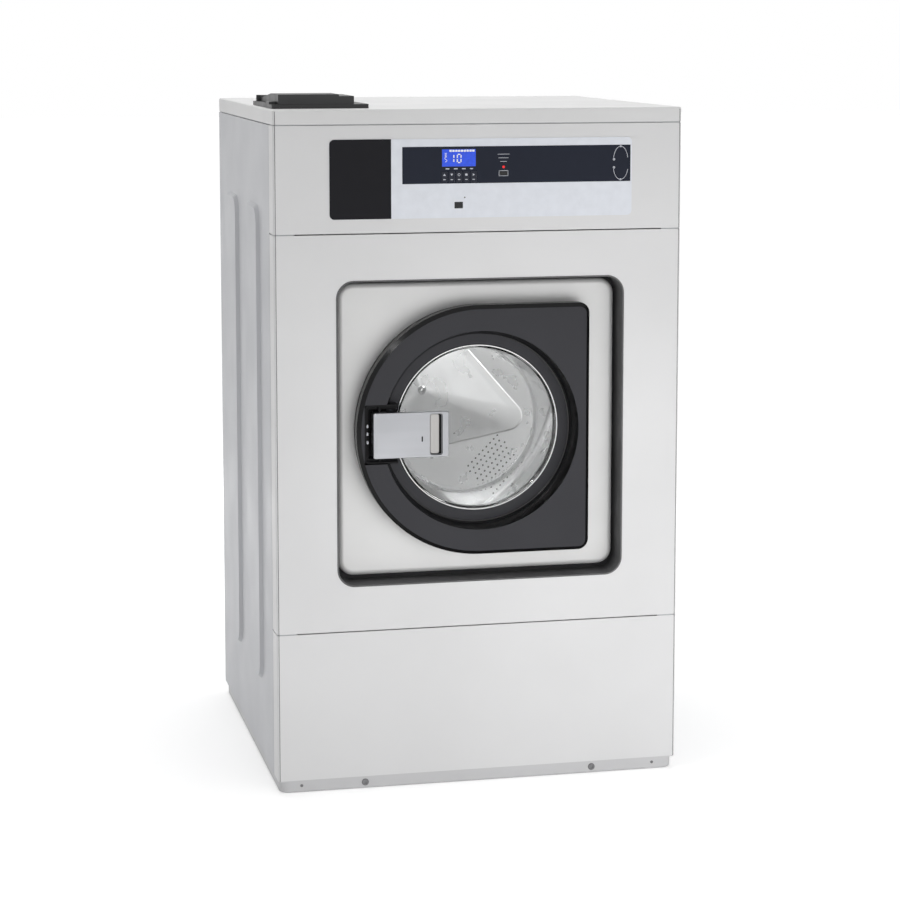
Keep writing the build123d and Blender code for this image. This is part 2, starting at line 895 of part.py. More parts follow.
def dispenser_hopper():
    """Three-chamber hopper hung from a flange on the lid, with a bottom outlet."""
    top = cabinet_height + dispenser_flange
    flange = block(
        dispenser_left, dispenser_right, front_y + dispenser_front, front_y + dispenser_back,
        cabinet_height, top,
    )
    flange = fillet(flange.edges().filter_by(Axis.Z), panel_corner_radius)
    box = block(
        hopper_left, hopper_right, front_y + hopper_front, front_y + hopper_back,
        hopper_bottom_z, top,
    )
    inside = block(
        hopper_left + hopper_wall, hopper_right - hopper_wall,
        front_y + hopper_front + hopper_wall, front_y + hopper_back - hopper_wall,
        hopper_bottom_z + hopper_wall, top + overrun,
    )
    spout_z = hopper_bottom_z - hopper_outlet_length
    spout = upright(
        tub_inlet_x, tub_inlet_y, hopper_outlet_radius, spout_z, hopper_bottom_z + hopper_wall
    )
    bore = upright(
        tub_inlet_x, tub_inlet_y, hopper_outlet_radius - hopper_wall,
        spout_z - overrun, hopper_bottom_z + hopper_wall + overrun,
    )
    hopper = flange + box - inside + spout - bore
    for side in (-1, 1):
        outer = (flap_left - join_gap) if side < 0 else (flap_right + join_gap)
        lug = block(
            *span(outer, outer + side * flap_lug_thickness),
            flap_pin_y - flap_barrel_radius, flap_pin_y + flap_barrel_radius,
            top, flap_pin_z + flap_barrel_radius,
        )
        hopper += lug - flap_rod(flap_pin_radius + shaft_clearance, flap_lug_thickness + overrun)
    return hopper


def flap_rod(radius, reach):
    """A rod on the flap's hinge line that stands out of both its ends."""
    length = flap_right - flap_left + 2 * reach
    middle = Pos((flap_left + flap_right) / 2, flap_pin_y, flap_pin_z)
    return middle * Rot(0, 90, 0) * Cylinder(radius, length)


def dispenser_tray():
    """Lift-out tray with two dividers and a drain hole in each chamber."""
    x0 = hopper_left + hopper_wall + tray_clearance
    x1 = hopper_right - hopper_wall - tray_clearance
    y0 = front_y + hopper_front + hopper_wall + tray_clearance
    y1 = front_y + hopper_back - hopper_wall - tray_clearance
    z1 = cabinet_height
    z0 = z1 - tray_depth
    tray = block(x0, x1, y0, y1, z0, z1)
    third = (y1 - y0 - 2 * tray_wall) / 3
    for index in range(3):
        low = y0 + tray_wall + index * third
        high = low + third - (tray_wall if index < 2 else 0)
        tray -= block(x0 + tray_wall, x1 - tray_wall, low, high, z0 + tray_wall, z1 + overrun)
        tray -= upright(
            (x0 + x1) / 2, (low + high) / 2, tray_hole_radius,
            z0 - overrun, z0 + overrun + tray_wall,
        )
    for side in (-1, 1):
        rim = x0 if side < 0 else x1
        tray += block(*span(rim, rim + side * tray_clearance), y0, y1, z0, z0 + tray_wall)
    return tray


def dispenser_lid():
    """Flap with a thick front block, a lift tab and its own hinge stubs."""
    z0 = cabinet_height + dispenser_flange + join_gap
    y0 = front_y + dispenser_front
    y1 = front_y + flap_back
    profile = Polyline(
        (y0, z0), (y0, z0 + flap_height), (y0 + flap_flat, z0 + flap_height),
        (y1, z0 + flap_back_height), (y1, z0), close=True,
    )
    plane = Plane(origin=(flap_left, 0, 0), x_dir=(0, 1, 0), z_dir=(1, 0, 0))
    flap = extrude(plane * make_face(profile), amount=flap_right - flap_left)
    flap -= block(
        flap_right - flap_step_width, flap_right + overrun, y0 - overrun, y1 + overrun,
        z0 + flap_height - flap_step, z0 + flap_height + overrun,
    )
    flap -= block(
        flap_left + flap_wall, flap_right - flap_wall, y0 + flap_wall, y0 + flap_flat,
        z0 - overrun, z0 + flap_height - flap_step - flap_wall,
    )
    flap += block(
        flap_left - flap_tab_overhang, flap_left + flap_tab_width - flap_tab_overhang,
        y0 + flap_tab_length / 2, y0 + flap_tab_length * 3 / 2, z0, z0 + flap_tab_thickness,
    )
    flap += block(flap_left, flap_right, y1 - overrun, flap_pin_y, z0, z0 + flap_back_height)
    return flap + flap_rod(flap_barrel_radius, 0) + flap_rod(flap_pin_radius, flap_lug_thickness)


def inlet_valves():
    """Two solenoid inlet valves whose threaded ends stand out of the rear panel."""
    valves = []
    for x in inlet_places():
        thread_end = back_y + inlet_flange_thickness + inlet_thread_length
        valve = disc(x, inlet_z, inlet_flange_radius, back_y, back_y + inlet_flange_thickness)
        valve += disc(x, inlet_z, inlet_thread_radius, back_y, thread_end)
        valve += disc(x, inlet_z, inlet_body_radius, back_y - inlet_body_length, back_y)
        valve -= disc(x, inlet_z, inlet_bore_radius, back_y, thread_end + overrun)
        valve += upright(
            x, back_y - inlet_body_length / 2 - sheet, solenoid_radius,
            inlet_z, inlet_z + inlet_body_radius + solenoid_height,
        )
        valves.append(valve)
    return valves


def inlet_hoses():
    """Two hoses from the valves forward to the back of the hopper."""
    hoses = []
    hopper_y = front_y + hopper_back
    valve_y = back_y - inlet_body_length
    entries = [hopper_left + 2 * hose_radius + hose_radius / 2, hopper_right - 2 * hose_radius]
    for x, entry in zip(inlet_places(), entries):
        middle_y = (hopper_y + valve_y) / 2
        route = FilletPolyline(
            (x, valve_y, inlet_z), (x, middle_y, inlet_z),
            (entry, middle_y, inlet_z), (entry, hopper_y, inlet_z), radius=hose_bend / 2,
        )
        section = Plane(origin=route @ 0, z_dir=route % 0) * Circle(hose_radius)
        hoses.append(sweep(section, path=route))
    return hoses


def cable_gland():
    nut = disc(gland_x, gland_z, gland_nut_radius, back_y, back_y + gland_nut_length)
    body = disc(
        gland_x, gland_z, gland_radius - join_gap, back_in - gland_nut_length, back_y + gland_length
    )
    inner = disc(gland_x, gland_z, gland_nut_radius, back_in - gland_nut_length, back_in)
    bore = disc(
        gland_x, gland_z, gland_bore_radius,
        back_in - gland_nut_length - overrun, back_y + gland_length + overrun,
    )
    return nut + body + inner - bore


def drain_valve():
    """Drain valve that stands on the base frame, with its outlet out of the rear."""
    y = front_y + sump_y
    body = upright(
        sump_x, y, drain_valve_radius, drain_z - drain_valve_radius, drain_valve_top_z - sump_length
    )
    body += upright(sump_x, y, sump_radius, drain_z, drain_valve_top_z)
    body += disc(sump_x, drain_z, drain_radius, y, back_y + drain_stub)
    body += disc(sump_x, drain_z, drain_radius + drain_collar, back_y, back_y + drain_collar_thickness)
    bore = disc(sump_x, drain_z, drain_radius - drain_wall, y, back_y + drain_stub + overrun)
    inlet = upright(sump_x, y, sump_radius - drain_wall, drain_z, drain_valve_top_z + overrun)
    foot = block(
        sump_x - drain_valve_radius, sump_x + drain_valve_radius,
        y - drain_valve_radius / 2, y + drain_valve_radius / 2, beam_top_z, drain_z,
    )
    tie = block(
        -beam_x, beam_x,
        y - drain_valve_radius / 2, y + drain_valve_radius / 2,
        beam_top_z, beam_top_z + drain_foot,
    )
    return body + foot + tie - bore - inlet


def boot(x, y, radius, z0, z1, wall):
    """A rubber sleeve between two pipe ends, one over each."""
    return upright(x, y, radius, z0, z1) - upright(x, y, radius - wall, z0 - overrun, z1 + overrun)


def sump_boot():
    """Rubber sleeve between the tub's sump and the drain valve."""
    y = front_y + sump_y
    return boot(sump_x, y, sump_radius, drain_valve_top_z, sump_bottom_z, sump_wall)


def dispenser_boot():
    """Rubber sleeve between the hopper's outlet and the tub's inlet."""
    top = hopper_bottom_z - hopper_outlet_length
    return boot(tub_inlet_x, tub_inlet_y, tub_inlet_radius, tub_inlet_top_z, top, sump_wall)


def tub_shell():
    """Stainless tub: rolled wall, rear wall, sump and inlet pipe, welded."""
    wall = disc(0, axis_z, tub_radius, front_y + tub_front_y, front_y + tub_back_y)
    sump = upright(sump_x, front_y + sump_y, sump_radius, sump_bottom_z, axis_z)
    inlet = upright(tub_inlet_x, tub_inlet_y, tub_inlet_radius, axis_z, tub_inlet_top_z)
    cavity = disc(
        0, axis_z, tub_radius - tub_wall, front_y + tub_front_y - overrun,
        front_y + tub_back_y - tub_end_wall,
    )
    sump_bore = upright(sump_x, front_y + sump_y, sump_radius - sump_wall, sump_bottom_z - overrun, axis_z)
    inlet_bore = upright(
        tub_inlet_x, tub_inlet_y, tub_inlet_radius - sump_wall, axis_z, tub_inlet_top_z + overrun
    )
    shaft_hole = disc(
        0, axis_z, housing_radius, front_y + tub_back_y - tub_end_wall - overrun,
        front_y + tub_back_y + overrun,
    )
    return wall + sump + inlet - cavity - sump_bore - inlet_bore - shaft_hole


def tub_front():
    """Front ring of the tub with its neck and the posts that carry the plate."""
    face_y = front_y + tub_front_y
    ring = disc(0, axis_z, tub_radius, face_y - tub_wall, face_y)
    neck = disc(0, axis_z, tub_neck_radius + tub_wall, face_y - tub_neck_length, face_y)
    front = ring + neck
    for side in (-1, 1):
        for end in (-1, 1):
            front += disc(
                side * standoff_reach, axis_z + end * standoff_reach, standoff_radius,
                plate_y + sheet, face_y - tub_wall,
            )
    return front - disc(
        0, axis_z, tub_neck_radius, face_y - tub_neck_length - overrun, face_y + overrun
    )


def plate_outline(inset):
    """Outline of the sunk plate, drawn in by an inset."""
    left = opening_left + plate_gap
    right = opening_right - plate_gap
    bottom = opening_bottom + plate_bottom_gap
    top = opening_top - plate_gap
    return rounded_rectangle(
        left + inset, right - inset, bottom + inset, top - inset, plate_corner_radius - inset
    )


def surround_plate():
    """Stainless plate behind the door, with its edges rolled back all round."""
    plate = slab(plate_outline(0), plate_y, plate_y + plate_return)
    plate = fillet(plate.edges().group_by(Axis.Y)[0], plate_roll)
    hollow = slab(plate_outline(sheet), plate_y + sheet, plate_y + plate_return + overrun)
    hollow = fillet(hollow.edges().group_by(Axis.Y)[0], plate_roll - sheet)
    plate -= hollow
    plate -= disc(0, axis_z, plate_hole_radius, plate_y - overrun, plate_y + plate_return)
    for z in hinge_levels():
        plate -= block(
            hinge_x - hinge_pin_radius - hinge_gap, hinge_x + hinge_pin_radius + hinge_gap,
            plate_y - overrun, plate_y + sheet + overrun,
            z - hinge_lug_thickness - hinge_gap, z + hinge_lug_thickness + hinge_gap,
        )
    return plate - block(
        keeper_left + keeper_wall, keeper_right, plate_y - overrun, plate_y + sheet + overrun,
        axis_z - keeper_slot_half_height, axis_z + keeper_slot_half_height,
    )


def door_seal():
    """Rubber ring on the tub's neck that the door's ring closes against."""
    neck_y = tub_front_y - tub_neck_length
    inner = tub_neck_radius - seal_overlap
    outer = tub_neck_radius + tub_wall + seal_lip
    front = ring_back_y + join_gap
    return turned([
        (inner, front), (outer, front), (outer, neck_y + 2 * seal_lip),
        (tub_neck_radius + tub_wall, neck_y + 2 * seal_lip),
        (tub_neck_radius + tub_wall, neck_y), (tub_neck_radius, neck_y), (inner, neck_y),
    ])


def bearing_housing():
    """Cast housing bolted to the tub's rear wall, bored for two bearings."""
    y0 = front_y + tub_back_y
    y1 = front_y + housing_end_y
    housing = disc(0, axis_z, housing_flange_radius, y0, y0 + housing_flange)
    housing += disc(0, axis_z, housing_radius, y0 - tub_end_wall, y1)
    return housing - disc(0, axis_z, bearing_radius, y0 - tub_end_wall - overrun, y1 + overrun)


def drum_bearings():
    """Two ball bearings, each as one ring, pressed into the housing."""
    y0 = front_y + tub_back_y - tub_end_wall
    y1 = front_y + housing_end_y
    rings = []
    for low in (y0, y1 - bearing_width):
        ring = disc(0, axis_z, bearing_radius, low, low + bearing_width)
        ring -= disc(
            0, axis_z, shaft_radius + shaft_clearance, low - overrun, low + bearing_width + overrun
        )
        rings.append(ring)
    return rings


def tub_cradle():
    """Suspended frame: two saddles under the tub on two long channels."""
    seat_x = beam_x
    cradle = block(
        -seat_x - cradle_wall, -seat_x + beam_width / 2, front_y + cradle_front_y,
        front_y + cradle_back_y, cradle_bottom_z, cradle_top_z,
    )
    cradle += mirrored(cradle)
    saddle_top = axis_z - tub_radius / 2
    for y in (saddle_front_y, saddle_back_y):
        saddle = block(
            -seat_x, seat_x, front_y + y, front_y + y + cradle_wall,
            cradle_bottom_z, saddle_top,
        )
        cradle += saddle
    cradle -= disc(0, axis_z, tub_radius, front_y, back_y)
    cradle -= upright(
        sump_x, front_y + sump_y, sump_radius + cradle_wall, cradle_bottom_z - overrun, saddle_top
    )
    cradle += block(
        motor_x - motor_foot_width / 2, seat_x, front_y + motor_front_y,
        front_y + motor_front_y + motor_foot_length, cradle_bottom_z, cradle_bottom_z + cradle_wall,
    )
    return cradle


def motor():
    """Drive motor with its end bells and the foot that bolts under the cradle."""
    y0 = front_y + motor_front_y
    y1 = front_y + motor_back_y
    body = disc(motor_x, motor_z, motor_radius, y0, y1)
    body = chamfer(body.edges().filter_by(GeomType.CIRCLE), motor_shaft_radius)
    body += block(
        motor_x - motor_foot_width / 2, motor_x + motor_foot_width / 2, y0 + motor_shaft_radius,
        y0 + motor_foot_length, motor_z, cradle_bottom_z,
    )
    return body - disc(
        motor_x, motor_z, motor_shaft_radius + shaft_clearance, y1 - motor_shaft_depth, y1 + overrun
    )


def grooved_pulley(x, z, radius, hub_radius):
    """A flat-belt pulley: a rim, and a disc that joins it to the hub."""
    y0 = front_y + pulley_front_y
    y1 = y0 + pulley_width
    pulley = disc(x, z, radius, y0, y1)
    if radius - pulley_rim > hub_radius:
        side = (pulley_width - pulley_web) / 2
        for low, high in ((y0 - overrun, y0 + side), (y1 - side, y1 + overrun)):
            pulley -= disc(x, z, radius - pulley_rim, low, high) - disc(x, z, hub_radius, low, high)
    return pulley


def driven_pulley():
    """Large pulley with five round windows, on the drum shaft's rear end."""
    pulley = grooved_pulley(0, axis_z, pulley_radius, pulley_hub_radius)
    reach = (pulley_radius - pulley_rim + pulley_hub_radius) / 2
    y0 = front_y + pulley_front_y
    for index in range(5):
        angle = 2 * math.pi * index / 5
        pulley -= disc(
            reach * math.cos(angle), axis_z + reach * math.sin(angle), pulley_window_radius,
            y0 - overrun, y0 + pulley_width + overrun,
        )
    return pulley - disc(0, axis_z, shaft_radius, y0 - overrun, y0 + pulley_width + overrun)


def motor_pulley():
    """Small pulley with its motor shaft."""
    y0 = front_y + motor_back_y - motor_shaft_depth + join_gap
    shaft = disc(motor_x, motor_z, motor_shaft_radius, y0, front_y + pulley_front_y)
    return shaft + grooved_pulley(motor_x, motor_z, motor_pulley_radius, motor_shaft_radius * 2)


def drive_belt():
    """Belt round both pulleys, as one closed loop."""
    def loop(growth):
        large = Pos(0, axis_z) * Circle(pulley_radius + growth)
        small = Pos(motor_x, motor_z) * Circle(motor_pulley_radius + growth)
        return make_hull(large.edges() + small.edges())

    y0 = front_y + pulley_front_y + (pulley_width - belt_width) / 2
    belt = slab(loop(belt_clearance + belt_thickness), y0, y0 + belt_width)
    return belt - slab(loop(belt_clearance), y0 - overrun, y0 + belt_width + overrun)


def spring_places():
    return [
        (side * beam_x, front_y + y) for side in (-1, 1) for y in (spring_front_y, spring_back_y)
    ]


def suspension_springs():
    """Four coil springs between the base beams and the cradle."""
    springs = []
    low = beam_top_z + spring_wire
    high = cradle_bottom_z - spring_wire
    path = Helix(pitch=(high - low) / spring_turns, height=high - low, radius=spring_radius)
    section = Plane(origin=path @ 0, z_dir=path % 0) * Circle(spring_wire)
    coil = sweep(section, path=path, is_frenet=True)
    for x, y in spring_places():
        springs.append(Pos(x, y, low) * coil)
    return springs


def damper_tubes():
    """Two damper tubes that stand on the base beams."""
    tubes = []
    for side in (-1, 1):
        x = side * beam_x
        y = front_y + damper_y
        tube = upright(x, y, damper_tube_radius, beam_top_z, beam_top_z + damper_tube_height)
        tubes.append(tube - upright(
            x, y, damper_tube_bore, beam_top_z + damper_rod_radius,
            beam_top_z + damper_tube_height + overrun,
        ))
    return tubes


def damper_rods():
    """Two damper rods that hang from the cradle into their tubes."""
    top = cradle_bottom_z
    low = beam_top_z + damper_tube_height - damper_rod_depth
    return [upright(side * beam_x, front_y + damper_y, damper_rod_radius, low, top) for side in (-1, 1)]


def drum_basket():
    """Rolled drum wall with its front ring and turned-in mouth."""
    outer = drum_radius
    inner = drum_radius - drum_wall
    lip = drum_front_y + drum_lip_length
    return turned([
        (drum_mouth_radius, drum_front_y), (outer, drum_front_y), (outer, drum_back_y),
        (inner, drum_back_y), (inner, drum_front_y + drum_wall),
        (drum_mouth_radius + drum_wall, drum_front_y + drum_wall),
        (drum_mouth_radius + drum_wall, lip), (drum_mouth_radius, lip),
    ])


def spider_arm(tip_radius, reach, hub_radius, angle):
    """One arm of a three-armed outline, from the hub out to a round tip."""
    hub = Circle(hub_radius)
    tip = Pos(reach * math.cos(angle), reach * math.sin(angle)) * Circle(tip_radius)
    return make_hull(hub.edges() + tip.edges())


def three_arms(tip_radius, reach, hub_radius):
    """Three arms a third of a turn apart, the first a little above the right."""
    turn = math.radians(spider_angle)
    outline = Sketch() + spider_arm(tip_radius, reach, hub_radius, turn)
    for index in (1, 2):
        outline += spider_arm(tip_radius, reach, hub_radius, turn + 2 * math.pi * index / 3)
    return Pos(0, axis_z) * outline


def star_outline(radius, corner):
    """Triangle with rounded corners, one of them a little below the right."""
    turns = [math.radians(star_angle + 120 * index) for index in range(3)]
    corners = [(radius * math.cos(turn), radius * math.sin(turn)) for turn in turns]
    outline = Polygon(*corners, align=None)
    return fillet(outline.vertices(), corner)


def star_form(foot_y, tail):
    """The low three-sided star that rises to the front, and a tail behind its foot."""
    base = Plane(origin=(0, foot_y, axis_z), x_dir=(1, 0, 0), z_dir=(0, -1, 0))
    foot = base * star_outline(star_foot_radius, star_foot_corner)
    head = base.offset(star_height) * star_outline(star_head_radius, star_head_corner)
    return loft([foot, head]) + extrude(foot, amount=-tail)


def drum_back():
    """Drum's rear disc with its pressed hollow star and three patches of drain holes."""
    y0 = front_y + drum_back_y - drum_wall
    back = disc(0, axis_z, drum_radius - drum_wall, y0, y0 + drum_wall)
    back += star_form(y0, drum_wall)
    back -= star_form(y0 + drum_wall, overrun)
    hole = disc(0, axis_z, back_hole_radius, y0 - overrun, y0 + drum_wall + overrun)
    holes = []
    for patch in range(3):
        turn = math.radians(spider_angle) + math.pi * (2 * patch - 1) / 3
        for row in range(back_hole_rows):
            for column in range(back_hole_columns):
                x = (column - (back_hole_columns - 1) / 2 + (row % 2) / 2) * back_hole_pitch
                z = back_patch_reach + (row - (back_hole_rows - 1) / 2) * back_hole_pitch
                turned_x = x * math.cos(turn - math.pi / 2) - z * math.sin(turn - math.pi / 2)
                turned_z = x * math.sin(turn - math.pi / 2) + z * math.cos(turn - math.pi / 2)
                holes.append(Pos(turned_x, 0, turned_z) * hole)
    return back - holes


def lifter_form(inset):
    """A rib that stands on the drum's lowest line, drawn in by an inset."""
    middle_y = front_y + (drum_front_y + drum_back_y) / 2
    base = Plane(origin=(0, middle_y, 0), x_dir=(1, 0, 0), z_dir=(0, 0, 1))
    low = lifter_foot - drum_radius
    foot = base.offset(low) * RectangleRounded(
        lifter_base - 2 * inset, lifter_length - 2 * inset, lifter_foot_radius - inset
    )
    head = base.offset(low + lifter_height - inset) * RectangleRounded(
        lifter_top - 2 * inset, lifter_length - lifter_base - 2 * inset, lifter_head_radius - inset
    )
    return loft([foot, head]) + extrude(foot, amount=-2 * lifter_foot)


def drum_lifters():
    """Three hollow ribs along the drum wall."""
    rib = lifter_form(0) - lifter_form(lifter_wall)
    rib = rib & disc(0, 0, drum_radius - drum_wall, front_y, back_y)
    return [Pos(0, 0, axis_z) * Rot(0, 120 * index, 0) * rib for index in range(3)]


def drum_spider():
    """Cast three-armed spider behind the drum, with the drum shaft."""
    y0 = front_y + drum_back_y
    reach = drum_radius - spider_tip_radius - drum_wall
    arms = three_arms(spider_tip_radius, reach, spider_hub_radius)
    spider = slab(arms, y0, y0 + spider_thickness)
    return spider + disc(0, axis_z, shaft_radius, y0, front_y + shaft_end_y)


def door_outline(inset):
    """Round on the left, flat on the right, drawn in by an inset."""
    radius = door_radius - inset
    flat = door_flat_x - inset
    left = Circle(radius) & Pos(-radius / 2, 0) * Rectangle(radius, 2 * radius)
    right = Pos(flat / 2, 0) * Rectangle(flat, 2 * radius)
    outline = left + right
    corners = outline.vertices().group_by(Axis.X)[-1]
    return Pos(0, axis_z) * fillet(corners, door_corner_radius - inset)


def hinge_levels():
    return [axis_z - hinge_reach_z, axis_z + hinge_reach_z]


def knuckle_spans():
    """Bottom and top of each of the door's knuckles, next to the fixed lugs."""
    near = hinge_reach_z - hinge_lug_thickness - hinge_gap
    far = near - hinge_knuckle_height
    return [(axis_z - near, axis_z - far), (axis_z + far, axis_z + near)]


def door_notch(y0):
    """The space in the door that the handle's root stands in."""
    return block(
        notch_left, notch_right, front_y + y0, front_y + notch_floor_y, notch_bottom, notch_top
    )


def hinge_slots(y0, y1, growth):
    """Room for the fixed hinge lugs to stand in while the door swings."""
    slots = []
    for z in hinge_levels():
        slots.append(block(
            hinge_x - hinge_eye_radius - growth, door_flat_x + overrun, y0, y1,
            z - hinge_lug_thickness - growth, z + hinge_lug_thickness + growth,
        ))
    return slots


def door_cover():
    """Moulded cover: bevelled flat-sided shell with a deep round mouth."""
    y0 = front_y + door_front
    y1 = front_y + door_back - door_frame_depth
    side = slab(door_outline(0), y0 + door_bevel, y1)
    plane = Plane(origin=(0, y0 + door_bevel, 0), x_dir=(1, 0, 0), z_dir=(0, -1, 0))
    bevel = loft([plane * door_outline(0), plane.offset(door_bevel) * door_outline(door_bevel)])
    cover = side + bevel
    hollow = slab(door_outline(door_bevel + cover_wall), y0 + cover_wall, y1 + overrun)
    hollow += slab(door_outline(cover_wall), y0 + door_bevel + cover_wall, y1 + overrun)
    mouth_wall = disc(0, axis_z, cover_mouth_radius + cover_wall, y0, y1)
    pocket = block(
        notch_left - cover_wall, notch_right, y0, y1,
        notch_bottom - cover_wall, notch_top + cover_wall,
    )
    cover = cover - (hollow - mouth_wall - pocket)
    mouth = turned([
        (0, door_front - overrun), (cover_mouth_radius, door_front - overrun),
        (cover_mouth_radius, door_front), (ring_seat_radius, door_back - door_frame_depth + overrun),
        (0, door_back - door_frame_depth + overrun),
    ])
    cover -= mouth
    cover -= door_notch(door_front - overrun)
    cover -= pivot_pins()[0]
    for low, high in knuckle_spans():
        cover -= block(
            hinge_x - hinge_eye_radius - hinge_gap, hinge_x + hinge_eye_radius + hinge_gap,
            y0 + door_bevel, y1 + overrun, low - hinge_gap, high + hinge_gap,
        )
    return cover - hinge_slots(y0 + door_bevel, y1 + overrun, hinge_gap)


def door_frame():
    """Cast frame behind the cover, with the hinge knuckles and the handle's bearing."""
    y0 = front_y + door_back - door_frame_depth
    y1 = front_y + door_back
    frame = slab(door_outline(door_step), y0, y1)
    frame -= disc(0, axis_z, ring_outer_radius + join_gap, front_y + ring_face_y, y1 + overrun)
    frame -= disc(0, axis_z, ring_seat_radius, y0 - overrun, y1 + overrun)
    for low, high in knuckle_spans():
        frame += upright(hinge_x, front_y + hinge_y, hinge_eye_radius, low, high)
        frame += block(
            hinge_x - hinge_eye_radius, hinge_x + hinge_eye_radius, front_y + hinge_y, y0, low, high
        )
        frame -= upright(
            hinge_x, front_y + hinge_y, hinge_pin_radius + shaft_clearance,
            low - overrun, high + overrun,
        )
    frame -= hinge_slots(front_y + hinge_y, y1 + overrun, hinge_gap)
    return frame - door_notch(door_front) - latch_room() - pivot_pins()[1]


def latch_room():
    """Hole through the frame for the latch and its pin."""
    return block(
        latch_pin_x - latch_eye_radius * 2, latch_pin_x + latch_eye_radius * 2,
        front_y + notch_floor_y - overrun, front_y + door_back + overrun,
        axis_z - latch_room_half_height, axis_z + latch_room_half_height,
    )


def door_ring():
    """Dark ring behind the cover's mouth that clamps the glass."""
    return turned([
        (ring_inner_radius, ring_face_y), (ring_outer_radius, ring_face_y),
        (ring_outer_radius, ring_back_y), (ring_inner_radius, ring_back_y),
    ])


def door_glass():
    """Bowl of toughened glass, open to the front, with a flange behind the ring."""
    flange_y = ring_face_y + glass_wall
    inner = ring_inner_radius - glass_wall
    floor_y = flange_y + bowl_depth
    return turned([
        (ring_inner_radius - join_gap, ring_face_y + join_gap),
        (ring_inner_radius - join_gap, flange_y + glass_wall),
        (bowl_bottom_radius + glass_wall, floor_y - glass_wall),
        (bowl_bottom_radius - bowl_corner_radius, floor_y + glass_wall),
        (0, floor_y + 2 * glass_wall), (0, floor_y + glass_wall),
        (bowl_bottom_radius - bowl_corner_radius, floor_y),
        (bowl_bottom_radius, floor_y - 2 * glass_wall),
        (inner, flange_y + glass_wall), (inner, ring_face_y + join_gap),
    ])


def door_handle():
    """Box-shaped lever with a finger pocket, pivoting at its left end."""
    y0 = front_y + handle_front
    lever = block(handle_left, handle_right, y0, y0 + handle_thickness, handle_bottom, handle_top)
    root = block(
        handle_left, handle_left + handle_root_width, y0, y0 + handle_root_depth,
        handle_bottom, handle_top,
    )
    lever += root
    lever = fillet(lever.faces().sort_by(Axis.Y)[0].edges(), handle_edge_radius)
    lever -= block(
        handle_pocket_left, handle_pocket_right, y0 - overrun, y0 + handle_pocket_depth,
        handle_bottom + handle_pocket_margin, handle_top - handle_pocket_margin,
    )
    bore = upright(
        handle_pin_x, front_y + handle_pin_y, handle_pin_radius + shaft_clearance,
        handle_bottom - overrun, handle_top + overrun,
    )
    return lever - bore


def pivot_pins():
    """The handle's pin and the latch's pin."""
    handle_pin = upright(
        handle_pin_x, front_y + handle_pin_y, handle_pin_radius,
        notch_bottom - pin_embed, notch_top + pin_embed,
    )
    latch_pin = upright(
        latch_pin_x, front_y + latch_pin_y, latch_pin_radius,
        axis_z - latch_room_half_height - pin_embed, axis_z + latch_room_half_height + pin_embed,
    )
    return [handle_pin, latch_pin]


def latch_hook():
    """Latch lever: an eye on its pin, a shank to the rear and a nose."""
    y = front_y + latch_pin_y
    low = axis_z - latch_height / 2
    high = axis_z + latch_height / 2
    hook = upright(latch_pin_x, y, latch_eye_radius, low, high)
    hook += block(
        latch_pin_x - latch_width / 2, latch_pin_x + latch_width / 2, y, y + latch_reach, low, high
    )
    hook += block(
        latch_pin_x - latch_width / 2 - latch_nose, latch_pin_x,
        y + latch_reach - latch_nose_length, y + latch_reach, low, high,
    )
    return hook - upright(
        latch_pin_x, y, latch_pin_radius + shaft_clearance, low - overrun, high + overrun
    )


def lock_keeper():
    """Steel box on the tub's front that the latch reaches into."""
    keeper = block(
        keeper_left, keeper_right, front_y + keeper_front_y, front_y + tub_front_y - tub_wall,
        axis_z - keeper_half_height, axis_z + keeper_half_height,
    )
    keeper -= block(
        keeper_left + keeper_wall, keeper_right - keeper_wall,
        front_y + keeper_front_y - overrun, front_y + keeper_back_y,
        axis_z - keeper_slot_half_height, axis_z + keeper_slot_half_height,
    )
    keeper -= disc(
        0, axis_z, tub_neck_radius + tub_wall + seal_lip + join_gap,
        front_y + keeper_front_y - overrun, front_y + tub_front_y,
    )
    return keeper


def door_hinge():
    """Fixed hinge: two lugs on a strap bolted to the tub's front, and two pins."""
    pieces = []
    strap_y1 = front_y + tub_front_y - tub_wall
    for z, knuckle in zip(hinge_levels(), knuckle_spans()):
        lug = upright(
            hinge_x, front_y + hinge_y, hinge_eye_radius,
            z - hinge_lug_thickness, z + hinge_lug_thickness,
        )
        lug += block(
            hinge_x - hinge_pin_radius, hinge_x + hinge_pin_radius, front_y + hinge_y,
            strap_y1, z - hinge_lug_thickness, z + hinge_lug_thickness,
        )
        low = min(z - hinge_lug_thickness, knuckle[0])
        high = max(z + hinge_lug_thickness, knuckle[1])
        pieces.append(lug + upright(hinge_x, front_y + hinge_y, hinge_pin_radius, low, high))
    return pieces


